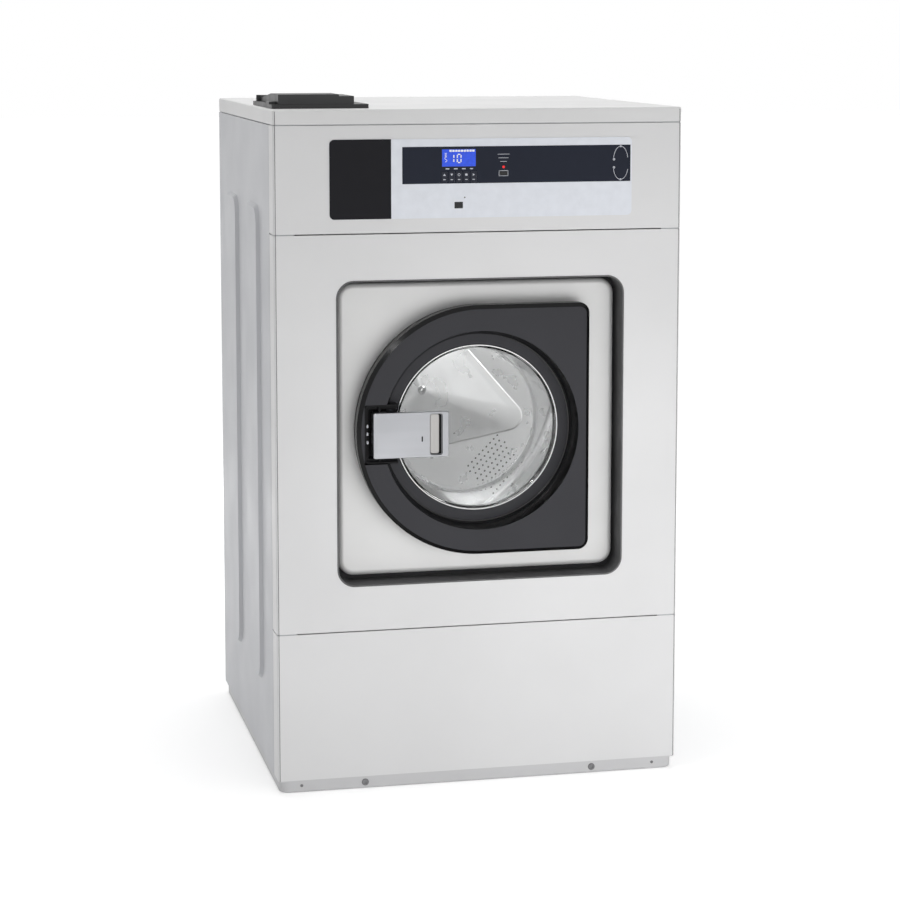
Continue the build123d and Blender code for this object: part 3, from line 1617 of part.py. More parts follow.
pieces = {
    "base_frame": base_frame(),
    "upper_frame": upper_frame(),
    "left_side_panel": left_side_panel(),
    "right_side_panel": mirrored(left_side_panel()),
    "rear_panel": rear_panel(),
    "rear_service_cover": rear_service_cover(),
    "top_lid": top_lid(),
    "control_panel": control_panel(),
    "front_panel": front_panel(),
    "lower_panel": lower_panel(),
    "panel_screws": panel_screws(),
    "opening_gaiter": opening_gaiter(),
    "control_fascia": control_fascia(),
    "fascia_badge": fascia_badge(),
    "display_strip": display_strip(),
    "display_window": display_window(),
    "status_led": status_led(),
    "control_board": control_board(),
    "dispenser_hopper": dispenser_hopper(),
    "dispenser_tray": dispenser_tray(),
    "dispenser_boot": dispenser_boot(),
    "dispenser_lid": dispenser_lid(),
    "inlet_valves": inlet_valves(),
    "inlet_hoses": inlet_hoses(),
    "drain_valve": drain_valve(),
    "sump_boot": sump_boot(),
    "cable_gland": cable_gland(),
    "suspension_springs": suspension_springs(),
    "damper_tubes": damper_tubes(),
    "tub_shell": tub_shell(),
    "tub_front": tub_front(),
    "surround_plate": surround_plate(),
    "door_seal": door_seal(),
    "bearing_housing": bearing_housing(),
    "drum_bearings": drum_bearings(),
    "tub_cradle": tub_cradle(),
    "damper_rods": damper_rods(),
    "motor": motor(),
    "drive_belt": drive_belt(),
    "door_hinge": door_hinge(),
    "lock_keeper": lock_keeper(),
    "drum_basket": drum_basket(),
    "drum_back": drum_back(),
    "drum_lifters": drum_lifters(),
    "drum_spider": drum_spider(),
    "driven_pulley": driven_pulley(),
    "motor_pulley": motor_pulley(),
    "door_frame": door_frame(),
    "door_cover": door_cover(),
    "door_ring": door_ring(),
    "door_glass": door_glass(),
    "pivot_pins": pivot_pins(),
    "door_handle": door_handle(),
    "latch_hook": latch_hook(),
}
for index in range(key_count):
    pieces[f"control_key_{index + 1}"] = control_key(index)

os.makedirs("parts", exist_ok=True)
for name, shape in pieces.items():
    save(shape, name)
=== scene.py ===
"""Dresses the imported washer-extractor for a studio picture. Lengths are in metres."""
import math

import bmesh
import bpy
import numpy as np
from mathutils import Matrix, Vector


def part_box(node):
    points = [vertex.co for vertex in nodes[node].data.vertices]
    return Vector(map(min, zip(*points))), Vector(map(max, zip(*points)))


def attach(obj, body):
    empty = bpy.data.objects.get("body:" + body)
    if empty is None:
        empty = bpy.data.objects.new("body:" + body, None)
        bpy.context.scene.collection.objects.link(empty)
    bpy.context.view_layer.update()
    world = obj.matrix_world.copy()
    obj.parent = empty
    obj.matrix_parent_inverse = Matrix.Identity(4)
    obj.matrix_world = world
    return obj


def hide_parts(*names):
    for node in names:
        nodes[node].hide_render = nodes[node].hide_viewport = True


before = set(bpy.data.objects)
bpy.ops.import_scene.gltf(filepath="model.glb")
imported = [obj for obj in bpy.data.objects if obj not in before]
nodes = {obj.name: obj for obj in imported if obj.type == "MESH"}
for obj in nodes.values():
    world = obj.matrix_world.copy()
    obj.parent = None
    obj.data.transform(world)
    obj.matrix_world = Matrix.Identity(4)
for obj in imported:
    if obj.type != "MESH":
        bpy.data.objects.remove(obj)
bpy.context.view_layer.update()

# Depth of the front panels' face, and height of the drum's axis.
FRONT = -0.331
AXIS_Z = 0.603


# Materials.
def srgb(r, g, b):
    """A colour as it shows on a screen, as the shader's own linear values."""
    return tuple(c / 12.92 if c <= 0.04045 else ((c + 0.055) / 1.055) ** 2.4 for c in (r, g, b))


class Shader:
    """A procedural material, built round one Principled shader."""

    def __init__(self, name, colour, rough=0.5, metal=0.0, specular=0.5):
        self.mat = bpy.data.materials.new(name)
        self.mat.use_nodes = True
        self.tree = self.mat.node_tree
        self.bsdf = self.tree.nodes["Principled BSDF"]
        self.colour = srgb(*colour)
        self.rough = rough
        self.set("Base Color", (*self.colour, 1))
        self.set("Roughness", rough)
        self.set("Metallic", metal)
        self.set("Specular IOR Level", specular)
        self.place = self.tree.nodes.new("ShaderNodeTexCoord").outputs["Object"]

    def set(self, socket, value):
        self.bsdf.inputs[socket].default_value = value
        return self

    def node(self, kind, **settings):
        made = self.tree.nodes.new(kind)
        for name, value in settings.items():
            setattr(made, name, value)
        return made

    def link(self, a, b):
        self.tree.links.new(a, b)

    def noise(self, scale, stretch, detail=3.0):
        """Noise over the object, with a number of spots to the metre."""
        mapping = self.node("ShaderNodeMapping")
        mapping.inputs["Scale"].default_value = stretch
        self.link(self.place, mapping.inputs["Vector"])
        noise = self.node("ShaderNodeTexNoise")
        noise.inputs["Scale"].default_value = scale
        noise.inputs["Detail"].default_value = detail
        self.link(mapping.outputs["Vector"], noise.inputs["Vector"])
        return noise.outputs["Fac"]

    def ramp(self, value, low, high, start=0.3, end=0.7):
        """A number between two limits, as a value runs from start to end."""
        node = self.node("ShaderNodeMapRange")
        node.inputs["From Min"].default_value = start
        node.inputs["From Max"].default_value = end
        node.inputs["To Min"].default_value = low
        node.inputs["To Max"].default_value = high
        self.link(value, node.inputs["Value"])
        return node.outputs["Result"]

    def mix(self, factor, a, b):
        """Two colours, or a socket and a colour, mixed by a factor."""
        node = self.node("ShaderNodeMix", data_type="RGBA")
        self.link(factor, node.inputs["Factor"])
        for socket, value in ((node.inputs[6], a), (node.inputs[7], b)):
            if isinstance(value, tuple):
                socket.default_value = (*value, 1)
            else:
                self.link(value, socket)
        return node.outputs[2]

    def mottle(self, amount, scale, stretch=(1, 1, 1)):
        """Uneven colour, lighter and darker by an amount."""
        fac = self.ramp(self.noise(scale, stretch), 0, 1)
        dark = tuple(c * (1 - amount) for c in self.colour)
        light = tuple(min(1, c * (1 + amount)) for c in self.colour)
        self.tone = self.mix(fac, dark, light)
        self.link(self.tone, self.bsdf.inputs["Base Color"])
        return self

    def sheen(self, spread, scale, stretch=(1, 1, 1)):
        """Uneven roughness about its own value."""
        value = self.ramp(self.noise(scale, stretch), self.rough - spread, self.rough + spread)
        self.link(value, self.bsdf.inputs["Roughness"])
        return self

    def relief(self, scale, depth, stretch=(1, 1, 1), strength=0.3):
        """Fine height, as of orange peel, grain or brushing."""
        bump = self.node("ShaderNodeBump")
        bump.inputs["Strength"].default_value = strength
        bump.inputs["Distance"].default_value = depth
        self.link(self.noise(scale, stretch, detail=2.0), bump.inputs["Height"])
        if self.bsdf.inputs["Normal"].is_linked:
            self.link(self.bsdf.inputs["Normal"].links[0].from_socket, bump.inputs["Normal"])
        self.link(bump.outputs["Normal"], self.bsdf.inputs["Normal"])
        return self

    def axis(self, letter):
        """One coordinate of the object, as a socket."""
        split = self.node("ShaderNodeSeparateXYZ")
        self.link(self.place, split.inputs["Vector"])
        return split.outputs[letter]


def paint(name, colour, rough=0.42):
    """Powder coat: faint orange peel and slightly uneven colour."""
    made = Shader(name, colour, rough)
    made.mottle(0.03, 3.5).sheen(0.06, 9).relief(900, 0.00012, strength=0.35)
    return made


def brushed(name, colour, rough, stretch, amount=0.06):
    """Brushed metal with its grain along the axis that is stretched least."""
    made = Shader(name, colour, rough, metal=1.0)
    made.mottle(amount, 60, stretch).sheen(0.08, 90, stretch).relief(420, 0.00005, stretch, strength=0.3)
    return made


def moulded(name, colour, rough=0.5, grain=1600, specular=0.5):
    """Moulded plastic with a fine grain."""
    made = Shader(name, colour, rough, specular=specular)
    made.mottle(0.03, 60).sheen(0.05, 45).relief(grain, 0.00006, strength=0.4)
    return made


def satin(name, colour, rough, metal, amount=0.03):
    """Pickled sheet steel: partly matt, with a faint cloudiness."""
    made = Shader(name, colour, rough, metal=metal)
    made.mottle(amount, 14).sheen(0.04, 30).relief(500, 0.00004, strength=0.2)
    return made


def rubber(name, colour=(0.13, 0.13, 0.135), rough=0.55):
    """Moulded rubber, dull and a little cloudy."""
    made = Shader(name, colour, rough)
    made.mottle(0.18, 14).sheen(0.1, 24).relief(1100, 0.0001, strength=0.35)
    return made


def cast(name, colour):
    """Rough cast metal."""
    made = Shader(name, colour, 0.62, metal=0.6)
    made.mottle(0.2, 45).sheen(0.12, 80).relief(420, 0.0004, strength=0.5)
    return made


MATERIALS = {
    "cabinet": paint("cabinet_paint", (0.855, 0.855, 0.857)),
    "lid": paint("lid_paint", (0.86, 0.86, 0.86)),
    # The sides' paint is the cabinet's paint made darker: painted shade, as the sides get less light than
    # the front.
    "side": paint("side_paint_painted_shade", (0.745, 0.75, 0.765)),
    "rail": paint("rail_paint", (0.78, 0.78, 0.785), 0.5),
    "inner_paint": paint("inner_frame_paint", (0.72, 0.73, 0.74), 0.5),
    "dark_paint": paint("dark_machine_paint", (0.20, 0.20, 0.21), 0.4),
    "plate": satin("plate_stainless", (0.84, 0.84, 0.838), 0.45, 0.25, 0.01),
    "tub": brushed("tub_stainless", (0.86, 0.86, 0.86), 0.34, (1, 0.05, 1)),
    "drum": satin("drum_stainless", (0.93, 0.93, 0.93), 0.3, 0.65),
    "steel": brushed("machined_steel", (0.80, 0.80, 0.80), 0.3, (1, 1, 0.1)),
    "screw": brushed("screw_steel", (0.50, 0.50, 0.505), 0.38, (1, 1, 1), 0.03),
    "casting": cast("rough_casting", (0.46, 0.46, 0.47)),
    "rubber": rubber("moulded_rubber"),
    # The gaiter's rubber is made lighter than the other black rubber: painted light, for the light that
    # hardly reaches into the gaiter.
    "gaiter": rubber("gaiter_rubber_painted_light", (0.36, 0.36, 0.365), 0.6),
    "hose": rubber("hose_rubber", (0.16, 0.16, 0.165), 0.6),
    "black_plastic": moulded("black_plastic", (0.165, 0.165, 0.17), 0.42),
    "tray_plastic": moulded("tray_plastic", (0.72, 0.74, 0.76), 0.45),
    "frame_black": moulded("door_frame_black", (0.09, 0.09, 0.095), 0.38, specular=0.12),
    "ring": moulded("door_ring_charcoal", (0.20, 0.20, 0.215), 0.4, specular=0.2),
    "film": moulded("fascia_film", (0.88, 0.893, 0.92), 0.42, 2400),
    "badge": moulded("badge_film", (0.105, 0.105, 0.12), 0.36, 2400, 0.12),
    "strip": moulded("strip_film", (0.135, 0.15, 0.195), 0.36, 2400, 0.12),
    "key": moulded("key_plastic", (0.17, 0.18, 0.22), 0.42, 2400, 0.2),
    "board": moulded("circuit_board", (0.10, 0.36, 0.20), 0.4),
    "print": moulded("pale_print", (0.80, 0.81, 0.84), 0.5, 2400),
    # White print; also the painted highlight on the notch's rivets.
    "white": moulded("white_print_and_painted_highlight", (0.93, 0.94, 0.96), 0.5, 2400),
    # Near black: painted shade in the lever's slot and pocket and behind the drum's holes, and the colour of
    # the small dot on the fascia.
    "hole": moulded("black_and_painted_shade_plastic", (0.03, 0.03, 0.03), 0.5, specular=0.1),
    # Grey of the painted shade down the front corners.
    "seam": moulded("seam_shadow", (0.36, 0.36, 0.37), 0.6, specular=0.1),
    "gloss_black": moulded("gloss_black", (0.05, 0.05, 0.055), 0.16),
    "bright": brushed("bright_steel", (0.90, 0.90, 0.90), 0.16, (1, 1, 1), 0.02),
    "pocket": brushed("pocket_aluminium", (0.70, 0.693, 0.685), 0.5, (1, 1, 0.05), 0.03),
}


def door_cover_material():
    """Satin charcoal on the flat face, glossy black on its bevel and in its mouth."""
    made = Shader("door_cover_moulding", (0.20, 0.20, 0.215), 0.4, specular=0.2)
    made.mottle(0.05, 9).relief(1500, 0.00005, strength=0.3)
    face_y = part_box("door_cover")[0].y
    edge = made.ramp(made.axis("Y"), 0, 1, face_y + 0.0002, face_y + 0.0008)
    black = made.mix(edge, made.tone, srgb(0.03, 0.03, 0.035))
    made.link(black, made.bsdf.inputs["Base Color"])
    made.link(made.ramp(edge, 0.4, 0.22, 0, 1), made.bsdf.inputs["Roughness"])
    return made


def handle_material():
    """Satin aluminium with its grain along the lever."""
    made = Shader("handle_aluminium", (0.69, 0.695, 0.71), 0.36, metal=1.0)
    made.mottle(0.03, 60, (0.05, 1, 1)).sheen(0.05, 140, (0.05, 1, 1))
    made.relief(900, 0.00003, (0.04, 1, 1), strength=0.25)
    return made


def display_material():
    """Lit blue display, faintly uneven."""
    made = Shader("display_blue", (0.10, 0.24, 0.70), 0.2)
    made.mottle(0.12, 160)
    made.link(made.tone, made.bsdf.inputs["Emission Color"])
    made.set("Emission Strength", 0.75)
    return made


def glass_material():
    """Clear glass."""
    made = Shader("bowl_glass", (0.985, 0.99, 0.99), 0.0)
    made.set("Transmission Weight", 1.0).set("IOR", 1.45)
    made.mottle(0.008, 6)
    return made


def led_material():
    """Red lens, dimly lit."""
    made = Shader("led_red", (0.85, 0.10, 0.10), 0.25)
    made.mottle(0.08, 400)
    made.link(made.tone, made.bsdf.inputs["Emission Color"])
    made.set("Emission Strength", 0.5)
    return made


MATERIALS.update({
    "cover": door_cover_material(),
    "handle": handle_material(),
    "display": display_material(),
    "glass": glass_material(),
    "led": led_material(),
})

NODE_FINISH = {
    "cabinet": ["control_panel", "front_panel", "lower_panel", "rear_panel", "rear_service_cover"],
    "side": ["left_side_panel", "right_side_panel"],
    "lid": ["top_lid"],
    "rail": ["base_frame"],
    "inner_paint": ["upper_frame"],
    "dark_paint": ["tub_cradle", "motor"],
    "plate": ["surround_plate"],
    "tub": ["tub_shell", "tub_front"],
    "drum": ["drum_basket", "drum_back", "drum_lifters"],
    "steel": ["panel_screws", "drum_bearings", "damper_rods", "suspension_springs",
              "motor_pulley", "door_hinge", "lock_keeper", "latch_hook"],
    "casting": ["bearing_housing", "driven_pulley", "drum_spider"],
    "rubber": ["door_seal", "sump_boot", "dispenser_boot", "drive_belt"],
    "gaiter": ["opening_gaiter"],
    "hose": ["inlet_hoses"],
    "black_plastic": ["dispenser_hopper", "dispenser_lid", "cable_gland", "inlet_valves",
                      "drain_valve", "damper_tubes"],
    "tray_plastic": ["dispenser_tray"],
    "frame_black": ["door_frame", "pivot_pins"],
    "ring": ["door_ring"],
    "film": ["control_fascia"],
    "badge": ["fascia_badge"],
    "strip": ["display_strip"],
    "key": [n for n in nodes if n.startswith("control_key_")],
    "board": ["control_board"],
    "cover": ["door_cover"],
    "handle": ["door_handle"],
    "display": ["display_window"],
    "glass": ["door_glass"],
    "led": ["status_led"],
}
for finish, names in NODE_FINISH.items():
    for name in names:
        nodes[name].data.materials.clear()
        nodes[name].data.materials.append(MATERIALS[finish].mat)


# Helpers that make meshes.
def piece(name, verts, faces, body, finish, slot, smooth=None):
    """One mesh piece that rides on a body; smooth is the angle to smooth under."""
    mesh = bpy.data.meshes.new(name)
    mesh.from_pydata([tuple(v) for v in verts], [], [tuple(f) for f in faces])
    bm = bmesh.new()
    bm.from_mesh(mesh)
    bmesh.ops.remove_doubles(bm, verts=bm.verts, dist=1e-6)
    bmesh.ops.recalc_face_normals(bm, faces=bm.faces)
    bm.to_mesh(mesh)
    bm.free()
    made = bpy.data.objects.new(name, mesh)
    bpy.context.scene.collection.objects.link(made)
    mesh.materials.append(MATERIALS[finish].mat)
    if smooth is not None:
        mesh.shade_smooth()
        mesh.set_sharp_from_angle(angle=math.radians(smooth))
    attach(made, body)
    return made


def grid(rows, columns, rows_close=True, columns_close=True):
    """Faces between rows of points; closed rows or columns run round to their first one."""
    faces = []
    for row in range(rows if rows_close else rows - 1):
        after = (row + 1) % rows
        for column in range(columns if columns_close else columns - 1):
            other = (column + 1) % columns
            faces.append((row * columns + column, after * columns + column,
                          after * columns + other, row * columns + other))
    return faces


def turned(profile, steps, centre=(0, AXIS_Z), y0=0.0, hexed=()):
    """A closed profile of (radius, y) turned about a front to back axis.
    The points of the profile that are named as hexed run round a hexagon."""
    verts = []
    for step in range(steps):
        angle = 2 * math.pi * step / steps
        for index, (radius, y) in enumerate(profile):
            if index in hexed:
                sector = (angle + math.pi / 6) % (math.pi / 3) - math.pi / 6
                radius = radius / math.cos(sector)
            x, z = centre[0] + radius * math.cos(angle), centre[1] + radius * math.sin(angle)
            verts.append((x, y0 + y, z))
    return verts, grid(steps, len(profile))


def joined(parts):
    """Several (vertices, faces) lists as one."""
    verts, faces = [], []
    for part_verts, part_faces in parts:
        start = len(verts)
        verts += list(part_verts)
        faces += [tuple(i + start for i in face) for face in part_faces]
    return verts, faces


def eased(points, radii, steps):
    """A run of points with each inner corner eased by an arc of its radius."""
    pts = [np.array(p, float) for p in points]
    path = [tuple(pts[0])]
    for before, corner, after, radius in zip(pts, pts[1:], pts[2:], radii):
        a = (before - corner) / np.linalg.norm(before - corner)
        b = (after - corner) / np.linalg.norm(after - corner)
        half = math.acos(max(-1.0, min(1.0, float(a @ b)))) / 2
        cut = radius / math.tan(half)
        middle = corner + (a + b) / np.linalg.norm(a + b) * radius / math.sin(half)
        start, end = corner + a * cut - middle, corner + b * cut - middle
        turn = math.pi - 2 * half
        for step in range(steps + 1):
            share = step / steps
            way = (math.sin((1 - share) * turn) * start + math.sin(share * turn) * end) / math.sin(turn)
            path.append(tuple(middle + way))
    path.append(tuple(pts[-1]))
    return path


def extruded(outline, y0, y1, edge=0.0):
    """An outline of (x, z) points made solid between two depths, its front edge eased."""
    points = np.array(outline)
    inset = points - np.sign(points - np.mean(points, axis=0)) * edge
    rings = [(points, y0), (points, y1)]
    if edge:
        rings = [(inset, y0), (points, y0 + edge), (points, y1)]
    verts = [(x, y, z) for ring, y in rings for x, z in ring]
    count, last = len(points), (len(rings) - 1) * len(points)
    faces = grid(len(rings), count, rows_close=False)
    faces.append(tuple(range(count)))
    faces.append(tuple(range(last + count - 1, last - 1, -1)))
    return verts, faces


def rounded(x0, x1, z0, z1, radius, steps=4):
    """A rounded rectangle's outline as (x, z) points."""
    points = []
    for cx, cz, start in ((x1 - radius, z1 - radius, 0), (x0 + radius, z1 - radius, 90),
                          (x0 + radius, z0 + radius, 180), (x1 - radius, z0 + radius, 270)):
        for step in range(steps + 1):
            angle = math.radians(start + 90 * step / steps)
            points.append((cx + radius * math.cos(angle), cz + radius * math.sin(angle)))
    return points


def bar(x, z, width, height, y0, y1):
    """A small raised bar about a middle point."""
    corner = min(width, height) * 0.2
    outline = rounded(x - width / 2, x + width / 2, z - height / 2, z + height / 2, corner, 2)
    return extruded(outline, y0, y1)


def boxed(left, right, low, top, edge, y0, y1):
    """Four bars along the inside of a box's edge."""
    half = edge / 2
    across = [bar((left + right) / 2, z, right - left, edge, y0, y1) for z in (low + half, top - half)]
    upright = [bar(x, (low + top) / 2, edge, top - low, y0, y1) for x in (left + half, right - half)]
    return across + upright


def band(x, z, radius_x, radius_z, width, start, end, y0, y1, steps=40):
    """A raised arc of an oval, between two angles in degrees."""
    verts, faces = [], []
    for step in range(steps + 1):
        angle = math.radians(start + (end - start) * step / steps)
        for grow in (-width / 2, width / 2):
            px = x + (radius_x + grow) * math.cos(angle)
            pz = z + (radius_z + grow) * math.sin(angle)
            verts += [(px, y0, pz), (px, y1, pz)]
    for step in range(steps):
        a = step * 4
        b = a + 4
        faces += [(a, b, b + 2, a + 2), (a + 1, a + 3, b + 3, b + 1),
                  (a, a + 1, b + 1, b), (a + 2, b + 2, b + 3, a + 3)]
    end_row = steps * 4
    faces += [(0, 2, 3, 1), (end_row, end_row + 1, end_row + 3, end_row + 2)]
    return verts, faces


# Prints on the fascia. Those on the strip stand proud of it by the thickness of the ink.
INK = 0.0001
strip_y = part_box("display_strip")[0].y
film_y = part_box("control_fascia")[0].y

# Each digit on the display: its value, the x and z of its middle, its width, height and stroke.
DIGITS = (
    (1, -0.0487, 1.0555, 0.0058, 0.0135, 0.0021),
    (0, -0.0368, 1.0555, 0.0062, 0.0135, 0.0019),
    (5, -0.0592, 1.0540, 0.0030, 0.0076, 0.0010),
)
# Left, right, low and top edges of the lit display, and the thickness of its dark rim.
DISPLAY = (-0.0662, -0.0082, 1.0417, 1.0712)
DISPLAY_RIM = 0.0007
# Left, right, low and top edges of the box round the service port, and the thickness of its line.
PORT_BOX = (0.0303, 0.0461, 1.0257, 1.0349)
LINE = 0.0007
# Corners of the arrows on keys 1, 2 and 5, about the symbol's middle.
ARROWS = {
    1: ((-0.0022, -0.0016), (0.0022, -0.0016), (0, 0.0020)),
    2: ((-0.0022, 0.0018), (0, -0.0018), (0.0022, 0.0018)),
    5: ((-0.0016, -0.0020), (0.0022, 0), (-0.0016, 0.0020)),
}


def segments(digit, x, z, width, height, stroke):
    """The lit bars of one seven-segment digit."""
    lit = {0: "abcdef", 1: "bc", 5: "acdfg"}[digit]
    places = {
        "a": (0, height / 2, True), "g": (0, 0, True), "d": (0, -height / 2, True),
        "f": (-width / 2, height / 4, False), "b": (width / 2, height / 4, False),
        "e": (-width / 2, -height / 4, False), "c": (width / 2, -height / 4, False),
    }
    made = []
    for key in lit:
        dx, dz, flat = places[key]
        wide, tall = (width - stroke, stroke) if flat else (stroke, height / 2 - stroke)
        made.append(bar(x + dx, z + dz, wide, tall, strip_y - INK, strip_y + INK))
    return made


def display_marks():
    """Digits, a row of small signs, a column of bars and the dark rim of the lit display."""
    depth = (strip_y - INK, strip_y + INK)
    parts = [mark for digit in DIGITS for mark in segments(*digit)]
    signs, first_x, pitch, sign_z = 9, -0.0512, 0.0048, 1.0680
    parts += [bar(first_x + index * pitch, sign_z, 0.0040, 0.0034, *depth) for index in range(signs)]
    bars, top_z, drop, bar_x = 4, 1.0640, 0.0018, -0.0592
    parts += [bar(bar_x, top_z - index * drop, 0.0034, 0.0008, *depth) for index in range(bars)]
    piece("display_segments", *joined(parts), "cabinet", "white", "strip_film")
    rim = boxed(*DISPLAY, DISPLAY_RIM, *depth)
    piece("display_rim", *joined(rim), "cabinet", "gloss_black", "strip_film")


def strip_marks():
    """Pale lines and a box in place of the strip's words, and the oval marking at its right end."""
    depth = (strip_y - INK, strip_y + INK / 2)
    caption_z, port_x, port_z = 1.0386, 0.0382, 1.0303
    captions = ((-0.0565, 0.0062), (-0.0425, 0.0062), (-0.0290, 0.0062), (-0.0160, 0.0050))
    parts = [bar(x, caption_z, width, 0.0016, *depth) for x, width in captions]
    lines = ((1.0617, 0.020), (1.0556, 0.017), (1.0496, 0.011))
    parts += [bar(port_x, z, width, LINE, *depth) for z, width in lines]
    parts += boxed(*PORT_BOX, LINE, *depth)
    piece("strip_prints", *joined(parts), "cabinet", "print", "strip_film")
    port = bar(port_x, port_z, 0.0135, 0.0064, *depth)
    piece("service_port", *port, "cabinet", "gloss_black", "strip_film")

    oval_x, oval_radius, stroke = 0.239, 0.0125, 0.0008
    arcs = ((1.0490, 0.0235, 12, 168), (1.0390, 0.0215, 192, 348))
    oval = [band(oval_x, z, oval_radius, tall, stroke, start, end, *depth) for z, tall, start, end in arcs]
    dots = ((oval_x, 1.0725, 0.0012, 0.0010), (oval_x, 1.0175, 0.0012, 0.0010),
            (0.2275, 1.0510, 0.0014, 0.0012), (0.2275, 1.0375, 0.0014, 0.0012))
    oval += [band(x, z, radius, radius, width, 0, 360, *depth, steps=16) for x, z, radius, width in dots]
    piece("oval_marking", *joined(oval), "cabinet", "print", "strip_film")


def fascia_marks():
    """The small dark window under the strip, and the dot beside it."""
    outline = rounded(-0.0446, -0.0303, 0.9734, 0.9842, 0.0006, 3)
    piece("sensor_window", *extruded(outline, film_y - 0.0004, film_y + 0.0002, 0.0002),
          "cabinet", "gloss_black", "strip_film")
    profile = [(0.0002, -0.0002), (0.0009, -0.0002), (0.0012, 0.0), (0.0012, 0.0003), (0.0002, 0.0003)]
    dot = turned(profile, centre=(-0.0272, 0.9913), steps=20, y0=film_y)
    piece("sensor_dot", *dot, "cabinet", "hole", "strip_film", smooth=40)


def key_marks():
    """A pale symbol and a small dash on each key; each rides on its own key."""
    symbol_z, dash_z, proud, sunk = 1.0288, 1.0209, 0.00003, 0.00037
    for key in range(1, 6):
        name = f"control_key_{key}"
        low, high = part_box(name)
        x, depth = (low.x + high.x) / 2, (low.y - proud, low.y + sunk)
        if key in ARROWS:
            marks = [extruded([(x + dx, symbol_z + dz) for dx, dz in ARROWS[key]], *depth)]
        elif key == 3:
            marks = [band(x, symbol_z, 0.0018, 0.0018, 0.0007, 0, 360, *depth, steps=24)]
        else:
            marks = [bar(x, symbol_z, 0.0038, 0.0034, *depth)]
        marks.append(bar(x, dash_z, 0.0040, 0.0012, *depth))
        piece(f"key_symbol_{key}", *joined(marks), f"key_{key}", "print", "key_plastic")


display_marks()
strip_marks()
fascia_marks()
key_marks()


# Drum.
drum_lo, drum_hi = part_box("drum_basket")
DRUM_R = (drum_hi.x - drum_lo.x) / 2
DRUM_Y0, DRUM_Y1 = drum_lo.y, drum_hi.y
DRUM_WALL = 0.0015


def perforated_wall():
    """The rolled drum wall with its drain holes, as one sheet given a thickness."""
    columns, rows, margin = 150, 31, 0.02
    pitch_s = 2 * math.pi * DRUM_R / columns
    pitch_y = (DRUM_Y1 - DRUM_Y0 - 2 * margin) / rows
    hole_radius, corners = 0.0019, 8
    around = ((1, 0), (1, 1), (0, 1), (-1, 1), (-1, 0), (-1, -1), (0, -1), (1, -1))
    angles = [2 * math.pi * k / corners for k in range(corners)]
    verts, faces = [], []

    def add(s, y):
        angle = s / DRUM_R
        verts.append((DRUM_R * math.sin(angle), y, AXIS_Z - DRUM_R * math.cos(angle)))
        return len(verts) - 1

    lifter_half, third = 0.034, 2 * math.pi * DRUM_R / 3
    for row in range(rows):
        y = DRUM_Y0 + margin + (row + 0.5) * pitch_y
        for column in range(columns):
            s = (column + (row % 2) / 2) * pitch_s
            to_lifter = abs((s + third / 2) % third - third / 2)
            edge = [add(s + dx * pitch_s / 2, y + dy * pitch_y / 2) for dx, dy in around]
            inner = [add(s + hole_radius * math.cos(a), y + hole_radius * math.sin(a)) for a in angles]
            for k in range(corners):
                j = (k + 1) % corners
                faces.append((inner[k], edge[k], edge[j], inner[j]))
            if to_lifter < lifter_half or row in (0, rows - 1):
                faces.append(tuple(inner))
    rolled = 0.004
    for y0, y1 in ((DRUM_Y0 + rolled, DRUM_Y0 + margin), (DRUM_Y1 - margin, DRUM_Y1)):
        for half in range(2 * columns):
            s0, s1 = half * pitch_s / 2, (half + 1) * pitch_s / 2
            faces.append((add(s0, y0), add(s1, y0), add(s1, y1), add(s0, y1)))
    wall = piece("drum_wall", verts, faces, "drum", "drum", "stainless", smooth=40)
    thick = wall.modifiers.new("thickness", "SOLIDIFY")
    thick.thickness = DRUM_WALL
    thick.offset = -1
    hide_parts("drum_basket")


def drum_front_ring():
    """Pressed front of the drum, with a rolled outer corner and a turned-in mouth."""
    mouth = 0.172
    profile = [(DRUM_R, 0.006), (DRUM_R - 0.0008, 0.003), (DRUM_R - 0.003, 0.0008), (DRUM_R - 0.006, 0.0),
               (mouth + 0.030, 0.0), (mouth + 0.024, 0.0006), (mouth + 0.012, 0.0006),
               (mouth + 0.005, 0.0), (mouth + 0.0015, 0.001), (mouth, 0.0035), (mouth, 0.010),
               (mouth + 0.0015, 0.010), (mouth + 0.0018, 0.005), (mouth + 0.006, 0.0018),
               (DRUM_R - 0.006, 0.0018), (DRUM_R - 0.0018, 0.006)]
    ring = turned(profile, y0=DRUM_Y0, steps=160)
    piece("drum_front_ring", *ring, "drum", "drum", "stainless", smooth=35)


def triangle_reach(angle, apothem, corner):
    """How far a triangle with rounded corners reaches, at an angle from one of its corners."""
    third = 2 * math.pi / 3
    aside = abs((angle + third / 2) % third - third / 2)
    from_flat = math.pi / 3 - aside
    if apothem * math.tan(from_flat) <= (apothem - corner) * math.tan(math.pi / 3):
        return apothem / math.cos(from_flat)
    middle = 2 * (apothem - corner)
    return middle * math.cos(aside) + math.sqrt(corner ** 2 - (middle * math.sin(aside)) ** 2)


